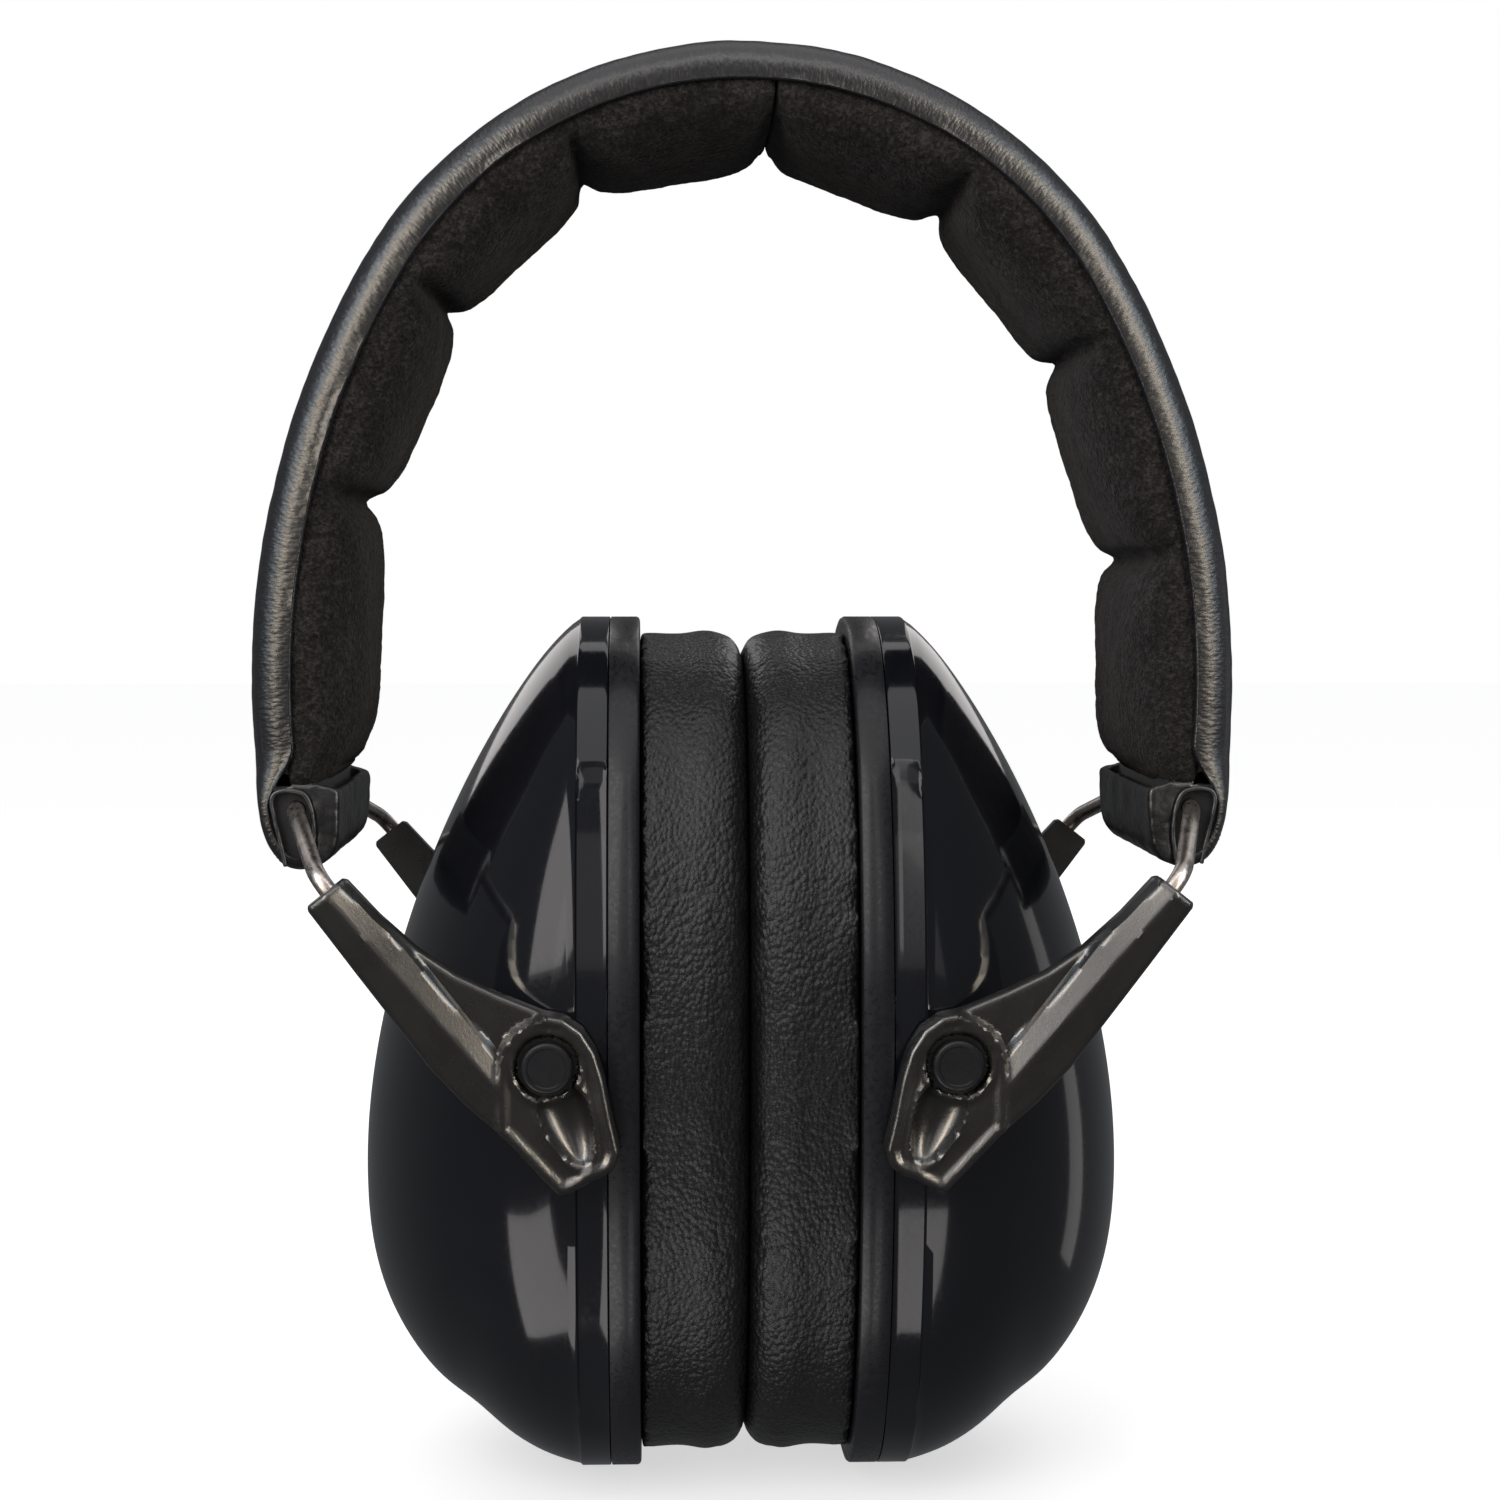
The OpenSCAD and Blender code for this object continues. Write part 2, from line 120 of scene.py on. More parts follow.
def joint_place(name):
    for joint in frame["joints"]:
        if joint["name"] == name:
            return Vector(joint["pos_m"]) / MM
    raise ValueError(name)


COVER_HIGH = node_box("headband_cover_right")[1]
PLATE_LOW, PLATE_HIGH = node_box("backing_plate_right")
SHELL_HIGH = node_box("cup_shell_right")[1]
CUSHION_LOW, CUSHION_HIGH = node_box("cushion_skin_right")
FOAM_LOW, FOAM_HIGH = node_box("acoustic_foam_right")
PIN_HIGH = node_box("pivot_pins_right")[1]
ARM_LOW, ARM_HIGH = node_box("front_arm_right")
SPRING_HIGH = node_box("spring_band")[1]

HALF_W = COVER_HIGH.x
DEPTH = COVER_HIGH.y
BAND_T = node_box("headband_cover_crown")[1].z
TOP_R = 46.0               # the band's outer line: one arc over the top, one down each side
TOP_C = (0.0, BAND_T - TOP_R)
SIDE_DROP = 20.6           # the side arcs' centres lie this far below the top arc's
SIDE_R = (HALF_W ** 2 + SIDE_DROP ** 2 - TOP_R ** 2) / (2 * (HALF_W - TOP_R))
SIDE_C = (HALF_W - SIDE_R, TOP_C[1] - SIDE_DROP)
TANGENT = math.atan2(SIDE_DROP, -SIDE_C[0])
TOP_LEN = TOP_R * (math.pi / 2 - TANGENT)
LOBE = 25.2                # spacing of the lining's sewn channels along the band
CROWN_CHANNEL = 3.6        # the crown's channel is sewn this far to the right of the middle
LINING_END = 104.8         # distance from the crown along the band, as are all such ends
SEAM_DEPTH = 4.6           # depth of the seam between cover and lining
CORNER = 0.93              # depth of the cover's rounded corner, as a share of the seam's

HINGE = joint_place("right_fold")
PIVOT = joint_place("right_cup_tilt")
SLOPE = math.radians(52)
BEAM_OUT = Vector((math.cos(SLOPE), math.sin(SLOPE)))
BEAM_UP = Vector((-math.sin(SLOPE), math.cos(SLOPE)))
PIN_U = 26.6               # pivot's place along an arm, from its outer end
PIN_V = 6.1                # and above the beam's axis
ARM_END = Vector((PIVOT.x, PIVOT.z)) - PIN_V * BEAM_UP + PIN_U * BEAM_OUT
LEG_Y = (ARM_LOW.y + ARM_HIGH.y) / -2
ARM_HALF_T = (ARM_HIGH.y - ARM_LOW.y) / 2

CUP_Z = (PLATE_LOW.z + PLATE_HIGH.z) / 2
HALF_H = (PLATE_HIGH.z - PLATE_LOW.z) / 2
HALF_CUP_W = (PLATE_HIGH.y - PLATE_LOW.y) / 2
PLATE_X = PLATE_LOW.x
RIM_X0 = PLATE_HIGH.x
RIM_X1 = RIM_X0 + 3.3      # here the shell's straight rim ends and its dome begins
APEX_DZ = -12.3            # height of the dome's apex over the cup's middle
REACH = SHELL_HIGH.x
EAR_HALF_H = 29.0          # the ear opening
EAR_HALF_W = 17.0
OVAL = 2.35                # exponent of the cups' oval outline


# ------------------------------------------------------------------ mesh helpers

def smoothstep(low, high, value):
    t = min(1.0, max(0.0, (value - low) / (high - low)))
    return t * t * (3 - 2 * t)


def mix(a, b, t):
    return a + (b - a) * t


def make_piece(name, verts, faces, material, side=1, uvs=None, sharp=None):
    """Mesh piece from points in mm; side -1 mirrors it to the left."""
    points = [(side * v[0] * MM, v[1] * MM, v[2] * MM) for v in verts]
    if side < 0:
        faces = [tuple(reversed(f)) for f in faces]
    mesh = bpy.data.meshes.new(name)
    mesh.from_pydata(points, [], faces)
    if uvs:
        layer = mesh.uv_layers.new(name="sweep")
        for loop in mesh.loops:
            layer.data[loop.index].uv = uvs[loop.vertex_index]
    mesh.materials.append(material)
    mesh.validate()
    mesh.shade_smooth()
    if sharp:
        mesh.set_sharp_from_angle(angle=math.radians(sharp))
    return add_object(name, mesh)


def loop_faces(rows, count, caps=True):
    """Faces of a tube whose rows of count points follow each other, with an n-gon at each end."""
    faces = []
    for i in range(rows - 1):
        for k in range(count):
            a = i * count + k
            b = i * count + (k + 1) % count
            faces.append((a, b, b + count, a + count))
    if caps:
        faces.append(tuple(reversed(range(count))))
        faces.append(tuple(range((rows - 1) * count, rows * count)))
    return faces


def closing_faces(rows, count):
    """Faces that join such a tube's last row to its first one."""
    last = (rows - 1) * count
    return [(last + k, last + (k + 1) % count, (k + 1) % count, k) for k in range(count)]


def add_part(verts, faces, part):
    """Adds a part's points and faces to those of a piece."""
    base = len(verts)
    verts.extend(part[0])
    faces.extend(tuple(base + j for j in f) for f in part[1])


def line_lengths(points):
    """Distance of each point from the first one, along the line through them."""
    lengths = [0.0]
    for a, b in zip(points, points[1:]):
        lengths.append(lengths[-1] + math.dist(a, b))
    return lengths


def outward(piece):
    """Makes all face normals point outwards."""
    bm = bmesh.new()
    bm.from_mesh(piece.data)
    bmesh.ops.recalc_face_normals(bm, faces=bm.faces)
    bm.to_mesh(piece.data)
    bm.free()
    return piece


def apply_modifiers(piece):
    graph = bpy.context.evaluated_depsgraph_get()
    mesh = bpy.data.meshes.new_from_object(piece.evaluated_get(graph))
    old = piece.data
    piece.modifiers.clear()
    piece.data = mesh
    bpy.data.meshes.remove(old)


def add_remesh(piece, voxel):
    remesh = piece.modifiers.new("remesh", "REMESH")
    remesh.mode = "VOXEL"
    remesh.voxel_size = voxel * MM


def catmull(points, steps):
    """Smooth curve through points."""
    out = []
    last = len(points) - 1
    for i in range(last):
        p0 = Vector(points[max(i - 1, 0)])
        p1 = Vector(points[i])
        p2 = Vector(points[i + 1])
        p3 = Vector(points[min(i + 2, last)])
        for k in range(steps):
            t = k / steps
            out.append(0.5 * (2 * p1 + (p2 - p0) * t + (2 * p0 - 5 * p1 + 4 * p2 - p3) * t * t
                              + (3 * p1 - p0 - 3 * p2 + p3) * t ** 3))
    out.append(Vector(points[-1]))
    return out


def resample(points, step):
    """Points at an even spacing along a polyline."""
    lengths = [0.0]
    for a, b in zip(points, points[1:]):
        lengths.append(lengths[-1] + (b - a).length)
    count = max(2, round(lengths[-1] / step))
    out = []
    k = 0
    for i in range(count + 1):
        target = lengths[-1] * i / count
        while k < len(points) - 2 and lengths[k + 1] < target:
            k += 1
        span = max(lengths[k + 1] - lengths[k], 1e-9)
        out.append(points[k].lerp(points[k + 1], (target - lengths[k]) / span))
    return out


def tube(path, radius, sides):
    """Points and faces of a round tube along a path, with domed ends."""
    dirs = []
    for i in range(len(path)):
        d = path[min(i + 1, len(path) - 1)] - path[max(i - 1, 0)]
        dirs.append(d.normalized())
    start = Vector((0.3, 0.2, 1)) if abs(dirs[0].z) < 0.9 else Vector((1, 0.2, 0))
    across = dirs[0].cross(start).normalized()
    verts = []
    rows = 0
    for i, (p, d) in enumerate(zip(path, dirs)):
        across = (across - d * across.dot(d)).normalized()
        up = d.cross(across)
        rings = [(0.0, 1.0)]
        if i == 0:
            rings = [(-0.7, 0.5), (-0.4, 0.85), (0.0, 1.0)]
        if i == len(path) - 1:
            rings = [(0.0, 1.0), (0.4, 0.85), (0.7, 0.5)]
        for shift, scale in rings:
            for k in range(sides):
                t = 2 * math.pi * k / sides
                verts.append(p + d * shift * radius
                             + radius * scale * (math.cos(t) * across + math.sin(t) * up))
            rows += 1
    return verts, loop_faces(rows, sides)


def wrinkle(piece, layers, share=None):
    """Moves points along their normals by noise, in layers of (size, height) in mm; share(p) scales it."""
    mesh = piece.data
    normals = [v.normal.copy() for v in mesh.vertices]
    for vertex, normal in zip(mesh.vertices, normals):
        p = vertex.co / MM
        shift = 0.0
        for index, (size, height) in enumerate(layers):
            shift += height * noise.noise(p / size + Vector((index * 17.3, 4.1, 9.7)))
        if share:
            shift *= share(p)
        vertex.co += normal * shift * MM
    mesh.update()


SIM_SCALE = 10             # the cloth solver is steady at this many times the real size
SIM_FRAMES = 20
CLOTH = {
    "quality": 6, "mass": 0.3, "tension_stiffness": 8, "compression_stiffness": 8, "shear_stiffness": 4,
    "bending_stiffness": 0.4, "use_pressure": True, "uniform_pressure_force": 4,
    "vertex_group_mass": "sewn",
}


def plump(piece, voxel, cap, sewn, limit):
    """Swells a pad by at most cap mm, held where sewn(p) is 1 and kept in place by limit(p)."""
    add_remesh(piece, voxel)
    apply_modifiers(piece)
    mesh = piece.data
    rest = [v.co.copy() for v in mesh.vertices]
    mesh.transform(Matrix.Scale(SIM_SCALE, 4))
    held = piece.vertex_groups.new(name="sewn")
    for index, point in enumerate(rest):
        if sewn(point / MM):
            held.add([index], 1.0, "REPLACE")
    cloth = piece.modifiers.new("cloth", "CLOTH")
    for key, value in CLOTH.items():
        setattr(cloth.settings, key, value)
    cloth.settings.effector_weights.gravity = 0
    cloth.collision_settings.use_collision = False
    for step in range(1, SIM_FRAMES + 1):
        bpy.context.scene.frame_set(step)
    apply_modifiers(piece)
    piece.vertex_groups.clear()
    for vertex, start in zip(piece.data.vertices, rest):
        move = vertex.co / SIM_SCALE - start
        if move.length > cap * MM:
            move.length = cap * MM
        vertex.co = start + move
        vertex.co = limit(vertex.co / MM) * MM
    fine = piece.modifiers.new("fine", "SUBSURF")
    fine.levels = 1
    apply_modifiers(piece)
    piece.data.shade_smooth()
    bpy.context.scene.frame_set(1)


def mirrored(piece, name):
    """The same piece on the other side."""
    mesh = piece.data.copy()
    mesh.name = name
    mesh.transform(Matrix.Diagonal((-1, 1, 1, 1)))
    mesh.flip_normals()
    return add_object(name, mesh)


# ------------------------------------------------------------------ materials

class Look:
    """A material, with short calls for building its nodes."""

    def __init__(self, name, colour, roughness, **sockets):
        self.material = bpy.data.materials.new(name)
        self.material.use_nodes = True
        self.tree = self.material.node_tree
        self.shader = self.tree.nodes["Principled BSDF"].inputs
        self.shader["Base Color"].default_value = (*colour, 1)
        self.shader["Roughness"].default_value = roughness
        for key, value in sockets.items():
            self.shader[key.replace("_", " ")].default_value = value

    def node(self, kind, inputs, **values):
        """Outputs of a new node, whose inputs are values or other nodes' outputs."""
        made = self.tree.nodes.new(kind)
        for key, value in values.items():
            setattr(made, key, value)
        for key, value in inputs.items():
            if isinstance(value, bpy.types.NodeSocket):
                self.tree.links.new(value, made.inputs[key])
            else:
                made.inputs[key].default_value = value
        return made.outputs

    def coords(self, scale=(1, 1, 1), source="Object"):
        place = self.node("ShaderNodeTexCoord", {})[source]
        return self.node("ShaderNodeMapping", {"Vector": place, "Scale": scale})["Vector"]

    def noise(self, vector, scale, detail=3.0, distortion=0.0, rough=0.55):
        return self.node("ShaderNodeTexNoise", {
            "Vector": vector, "Scale": scale, "Detail": detail, "Roughness": rough,
            "Distortion": distortion})["Fac"]

    def voronoi(self, vector, scale, feature, **inputs):
        return self.node("ShaderNodeTexVoronoi", {"Vector": vector, "Scale": scale, **inputs},
                         feature=feature)["Distance"]

    def total(self, *terms):
        """Sum of values, each times its weight."""
        result = 0.0
        for value, weight in terms:
            result = self.node("ShaderNodeMath", {0: value, 1: weight, 2: result},
                               operation="MULTIPLY_ADD")[0]
        return result

    def remap(self, value, low, high, to_low, to_high):
        return self.node("ShaderNodeMapRange", {
            "Value": value, "From Min": low, "From Max": high, "To Min": to_low,
            "To Max": to_high})["Result"]

    def warp(self, vector, scale, amount):
        """The vector pushed about by coloured noise."""
        push = self.node("ShaderNodeTexNoise", {"Vector": vector, "Scale": scale})["Color"]
        return self.node("ShaderNodeVectorMath", {0: push, 1: (amount, amount, amount), 2: vector},
                         operation="MULTIPLY_ADD")["Vector"]

    def colour(self, factor, stops):
        ramp = self.tree.nodes.new("ShaderNodeValToRGB")
        while len(ramp.color_ramp.elements) < len(stops):
            ramp.color_ramp.elements.new(0.5)
        for element, (place, value) in zip(ramp.color_ramp.elements, stops):
            element.position = place
            element.color = (*value, 1)
        self.tree.links.new(factor, ramp.inputs["Fac"])
        self.tree.links.new(ramp.outputs["Color"], self.shader["Base Color"])

    def roughness(self, value):
        self.tree.links.new(value, self.shader["Roughness"])

    def bump(self, height, distance, strength=1.0):
        normal = self.node("ShaderNodeBump", {
            "Height": height, "Strength": strength, "Distance": distance})["Normal"]
        self.tree.links.new(normal, self.shader["Normal"])


def crinkled_leather(name, source, stretch, cell, depth, dark, light, rough, folding):
    """Leatherette with pebbles of the given size, stretched along the given coordinate scales."""
    look = Look(name, dark, rough, Specular_IOR_Level=0.6)
    place = look.coords(stretch, source)
    bent = look.warp(place, 0.45 / cell, cell * 0.55)
    pebbles = look.voronoi(bent, 1 / cell, "SMOOTH_F1", Smoothness=0.35)
    grain = look.noise(place, 3.2 / cell, detail=4, rough=0.6)
    folds = look.noise(bent, 0.22 / cell, distortion=0.8)
    look.bump(look.total((grain, 0.35), (pebbles, -1.0), (folds, folding)), depth)
    # Colour: darker in the crevices between the pebbles, which is painted shade there, mixed with a tone
    # from the folds that differs at random.
    look.colour(look.total((pebbles, 0.5), (folds, 0.5)), [(0.2, light), (0.75, dark)])
    look.roughness(look.remap(grain, 0.3, 0.7, rough - 0.07, rough + 0.1))
    return look.material


def fleece():
    look = Look("fleece", (0.006, 0.0057, 0.006), 0.95, Sheen_Weight=0.05, Sheen_Roughness=0.5,
                Sheen_Tint=(0.6, 0.58, 0.6, 1), Specular_IOR_Level=0.08)
    place = look.coords()
    pile = look.noise(place, 2700, detail=2, rough=0.6, distortion=0.5)
    tufts = look.noise(place, 1500, detail=2, distortion=0.5)
    nap = look.noise(place, 210, detail=2, distortion=0.6)
    look.bump(look.total((pile, 1.0), (tufts, 0.8)), 0.00035)
    look.colour(look.total((pile, 0.45), (tufts, 0.35), (nap, 0.2)),
                [(0.38, (0.0035, 0.0033, 0.0034)), (0.5, (0.009, 0.0086, 0.0088)),
                 (0.64, (0.024, 0.0228, 0.0232))])
    return look.material


def moulded_plastic(name, dark, light, rough, speck, **sockets):
    """Satin moulded plastic with a faint spark-eroded texture and handling marks."""
    look = Look(name, dark, rough, **sockets)
    fine = look.noise(look.coords(), speck, rough=0.7)
    broad = look.noise(look.coords(), 160, detail=4, distortion=1.0)
    look.bump(fine, 0.00002)
    look.colour(look.total((fine, 0.6), (broad, 0.4)), [(0.35, dark), (0.7, light)])
    look.roughness(look.remap(broad, 0.3, 0.7, rough - 0.02, rough + 0.04))
    return look.material


def smoky_plastic(name, dark, light, rough, coat):
    """Smoky plastic: faint flow clouds inside and hairline polishing marks."""
    look = Look(name, dark, rough, Coat_Weight=coat, Coat_Roughness=0.04, IOR=1.5)
    clouds = look.noise(look.coords((1, 1, 0.35)), 38, detail=2, distortion=1.5)
    hairs = look.noise(look.coords((1, 0.12, 1)), 2400, detail=2)
    look.colour(clouds, [(0.3, dark), (0.75, light)])
    look.roughness(look.remap(hairs, 0.25, 0.75, rough * 0.7, rough * 1.5))
    look.bump(clouds, 0.0001, 0.4)
    return look.material


def drawn_steel(name, colour, rough):
    """Drawn steel: fine scratches, and darker patches scattered at random that are painted shade."""
    look = Look(name, colour, rough, Metallic=1.0)
    scratches = look.noise(look.coords((1, 0.2, 1)), 3000)
    # Darker patches scattered at random: painted shade.
    shade_patches = look.noise(look.coords(), 300, detail=4, distortion=0.8)
    look.colour(shade_patches, [(0.35, tuple(c * 0.62 for c in colour)), (0.6, colour)])
    look.roughness(look.remap(scratches, 0.3, 0.7, rough - 0.06, rough + 0.1))
    look.bump(scratches, 0.000002)
    return look.material


def open_foam(name, dark, light, cell):
    look = Look(name, dark, 0.95, Specular_IOR_Level=0.1)
    cells = look.voronoi(look.coords(), 1 / cell, "DISTANCE_TO_EDGE")
    fine = look.noise(look.coords(), 1.7 / cell)
    look.bump(look.total((cells, -1.0), (fine, 0.4)), 0.0004)
    # Colour: light along the cell walls and darker inside the cells, which is painted shade in the pores'
    # hollows.
    look.colour(cells, [(0.0, light), (0.25, dark)])
    return look.material


def spun_thread():
    look = Look("thread", (0.05, 0.045, 0.04), 0.6, Sheen_Weight=0.2)
    strands = look.noise(look.coords(), 5200, detail=2)
    look.colour(strands, [(0.35, (0.02, 0.018, 0.017)), (0.65, (0.16, 0.14, 0.12))])
    look.bump(strands, 0.00004)
    return look.material


BAND_LEATHER = crinkled_leather(
    "band_leather", "UV", (1.0, 0.42, 1), 0.00036, 0.000045, (0.005, 0.006, 0.0095),
    (0.011, 0.0112, 0.013), 0.34, 0.25)
POCKET_LEATHER = crinkled_leather(
    "pocket_leather", "Object", (1, 1, 1), 0.0009, 0.00006, (0.0065, 0.0075, 0.0105),
    (0.013, 0.0135, 0.016), 0.36, 0.9)
CUSHION_LEATHER = crinkled_leather(
    "cushion_leather", "Object", (1, 0.85, 0.75), 0.00046, 0.00012, (0.0058, 0.006, 0.0068),
    (0.012, 0.0123, 0.0132), 0.29, 0.3)
FLEECE = fleece()
THREAD = spun_thread()
ARM_PLASTIC = moulded_plastic(
    "arm_plastic", (0.0065, 0.0064, 0.0064), (0.011, 0.0107, 0.0104), 0.27, 4200,
    Specular_IOR_Level=0.75, Coat_Weight=0.3, Coat_Roughness=0.16)
PIN_PLASTIC = moulded_plastic("pin_plastic", (0.012, 0.0125, 0.014), (0.022, 0.0225, 0.025), 0.3, 3000)
BLOCK_PLASTIC = moulded_plastic("hinge_plastic", (0.02, 0.02, 0.021), (0.036, 0.036, 0.037), 0.5, 3000)
CUP_PLASTIC = smoky_plastic("cup_plastic", (0.0075, 0.0082, 0.0115), (0.015, 0.016, 0.0205), 0.1, 0.35)
RIM_PLASTIC = smoky_plastic("rim_plastic", (0.009, 0.0096, 0.0125), (0.0155, 0.0162, 0.02), 0.3, 0.1)
# The wire's dull brownish colour and its darker patches are painted shade, standing in for the shade the
# wire lies in inside the pocket's slot.
WIRE_STEEL = drawn_steel("wire_steel", (0.44, 0.40, 0.37), 0.3)
RIVET_STEEL = drawn_steel("rivet_steel", (0.62, 0.62, 0.62), 0.3)
SPRING_STEEL = drawn_steel("spring_steel", (0.42, 0.43, 0.45), 0.34)
ACOUSTIC_FOAM = open_foam("acoustic_foam", (0.012, 0.012, 0.013), (0.05, 0.05, 0.052), 0.0011)


# ------------------------------------------------------------------ headband

def band_point(s, depth):
    """Front-view place at a distance from the crown along the band's outer face, and a depth under it."""
    if s <= TOP_LEN:
        angle = math.pi / 2 - s / TOP_R
        centre, radius = TOP_C, TOP_R
    else:
        angle = TANGENT - (s - TOP_LEN) / SIDE_R
        centre, radius = SIDE_C, SIDE_R
    r = radius - depth
    return Vector((centre[0] + r * math.cos(angle), centre[1] + r * math.sin(angle)))


# The outer face runs down the side to this distance and then on round the band's lower end.
SIDE_END = 106.0
END_CURVE = [(50.15, -71.4), (49.3, -73.6), (48.0, -75.1), (46.4, -75.7), (44.7, -75.45)]


def outer_line():
    """The band's outer face in the front view, from the crown to the end of its lower curve."""
    rows = 212
    run = [band_point(SIDE_END * i / rows, 0) for i in range(rows + 1)]
    tail = catmull([run[-2], run[-1]] + [Vector(p) for p in END_CURVE], 8)[8:]
    return resample(run + tail[1:], 0.5)


OUTER = outer_line()
OUTER_STEP = sum((b - a).length for a, b in zip(OUTER, OUTER[1:])) / (len(OUTER) - 1)


def cover_point(index, depth):
    """Place under the outer line's point of that index."""
    here = OUTER[index]
    along = (OUTER[min(index + 1, len(OUTER) - 1)] - OUTER[max(index - 1, 0)]).normalized()
    if index == 0:
        along = Vector((1, 0))
    inwards = Vector((along.y, -along.x))
    return here + inwards * depth


def seam_depth(s):
    """Depth at which the cover's edge lies; it curls outwards round the band's lower end."""
    end_depth = 1.25
    return mix(SEAM_DEPTH, end_depth, smoothstep(100.5, 107.0, s))


def cover_profile(seam):
    """Half cross-section as (y, depth), from the middle of the outer face to the seam and back inside."""
    corner = seam * CORNER
    half = [(0.0, 0.0), (5.0, 0.02), (DEPTH - corner - 2.5, 0.06)]
    for k in range(9):
        t = math.pi / 2 * k / 8
        half.append((DEPTH - corner + corner * math.sin(t), 0.1 + (corner - 0.1) * (1 - math.cos(t))))
    half += [
        (DEPTH + 0.02, mix(corner, seam, 0.35)), (DEPTH - 0.22, seam - 0.42), (DEPTH - 0.3, seam - 0.36),
        (DEPTH - 0.08, seam - 0.26), (DEPTH + 0.02, seam - 0.14), (DEPTH - 0.06, seam - 0.02),
        (DEPTH - 0.4, seam + 0.05), (DEPTH - 0.95, seam - 0.02),
    ]
    inner = [(DEPTH - 1.15, max(seam - 0.5, 1.15)), (DEPTH - 1.2, max(seam * 0.6, 1.1))]
    inner += [(DEPTH - 2.2, 1.0), (DEPTH - 7, 0.95), (0.0, 0.9)]
    return half, inner


def sweep_cover(side_name):
    """Half of the leatherette cover, from the crown to the band's lower end."""
    verts, uvs = [], []
    for index in range(len(OUTER)):
        s = index * OUTER_STEP
        half, inner = cover_profile(seam_depth(s))
        ring = [(-y, d) for y, d in half[::-1]] + half[1:] + inner + [(-y, d) for y, d in inner[-2::-1]]
        for (y, d), v in zip(ring, line_lengths(ring)):
            p = cover_point(index, d)
            verts.append((p.x, y, p.y))
            uvs.append((s * MM, v * MM))
    faces = [tuple(reversed(f)) for f in loop_faces(len(OUTER), len(ring))]
    cover = outward(make_piece(
        f"band_cover_{side_name}", verts, faces, BAND_LEATHER, SIDES[side_name], uvs=uvs, sharp=70))
    wrinkle(cover, [(7.0, 0.10), (1.6, 0.05)], lambda p: smoothstep(0, 2, abs(p.x)) if p.z > -5 else 1.0)
    return cover


def lobe_place(s, side):
    """Place within a lobe of the lining, from 0 to 1; the last lobe runs on to the lining's end."""
    along = s - side * CROWN_CHANNEL
    if along > 3 * LOBE:
        return min(1.0, (along - 3 * LOBE) / (LINING_END - side * CROWN_CHANNEL - 3 * LOBE))
    return (along % LOBE) / LOBE


def channel_distance(s, side):
    """How far a place along the lining is from the nearest sewn channel."""
    place = lobe_place(s, side)
    return LOBE * min(place, 1 - place)


def lobe_depth(s, side):
    """Depth of the lining's inner face: broad pads between narrow sewn channels."""
    channel, pad = 7.9, BAND_T + 1.2
    return mix(channel, pad, (1 - abs(2 * lobe_place(s, side) - 1) ** 3.4) ** 0.62)


def sweep_lining(side_name):
    """One side of the fleece lining, from the crown's channel to the lining's end."""
    side = SIDES[side_name]
    verts, uvs = [], []
    across, back, spacing = 56, 10, 0.42
    first = side * CROWN_CHANNEL
    rows = int((LINING_END - first) / spacing)
    start = SEAM_DEPTH - 0.2
    for i in range(rows + 1):
        s = mix(first, LINING_END, i / rows) + 0.4 * smoothstep(rows - 3, rows, i)
        crease = math.exp(-(channel_distance(s, side) / 1.3) ** 2)
        reach = (lobe_depth(s, side) - start) * (1 - 0.35 * smoothstep(rows - 6, rows, i) ** 2)
        ring = []
        for k in range(across + 1):
            c, sn = math.cos(math.pi * k / across), math.sin(math.pi * k / across)
            y = -(DEPTH - 0.35 - 0.2 * crease * sn) * math.copysign(abs(c) ** (2 / 3.4), c)
            ring.append((y, start + reach * abs(sn) ** (2 / 3.0)))
        lengths = line_lengths(ring)
        for k in range(back + 1):
            ring.append(((DEPTH - 1.6) * (1 - 2 * k / back), 3.45))
            lengths.append(lengths[across] + k)
        for (y, d), v in zip(ring, lengths):
            p = band_point(s, d)
            verts.append((p.x, y, p.y))
            uvs.append((s * MM, v * MM))
    faces = loop_faces(rows + 1, len(ring))
    lining = outward(make_piece(f"band_lining_{side_name}", verts, faces, FLEECE, side, uvs=uvs))
    plump(lining, 0.9, 0.6, lambda p: lining_sewn(p, side), lambda p: lining_notch(p, side))
    wrinkle(lining, [(9.0, 0.3), (2.6, 0.13), (0.7, 0.09)],
            lambda p: smoothstep(0, 1.5, abs(p.x - CROWN_CHANNEL)) if p.z > -5 else 1.0)
    return lining


def band_place(p, side):
    """Distance from the crown along the band, and depth under its outer face, of a point in mm."""
    here = Vector((side * p.x, p.z))
    from_top, from_side = here - Vector(TOP_C), here - Vector(SIDE_C)
    angle = math.atan2(from_top.y, from_top.x)
    if angle > TANGENT:
        return (math.pi / 2 - angle) * TOP_R, TOP_R - from_top.length
    return TOP_LEN + (TANGENT - math.atan2(from_side.y, from_side.x)) * SIDE_R, SIDE_R - from_side.length


def lining_sewn(p, side):
    """The lining is held at the seam, along the channels and at both ends."""
    s, depth = band_place(p, side)
    return channel_distance(s, side) < 1.0 or depth < SEAM_DEPTH + 0.9 or s > LINING_END - 1.2


def lining_notch(p, side):
    """The stitching pulls the lining's channels in again."""
    s, depth = band_place(p, side)
    pull = 1.5 * math.exp(-(channel_distance(s, side) / 0.9) ** 2) * smoothstep(5.5, 8.0, depth)
    if s < side * CROWN_CHANNEL + 0.6 or s > LINING_END - 1:
        return p
    q = band_point(s, depth - pull)
    return Vector((side * q.x, p.y, q.y))


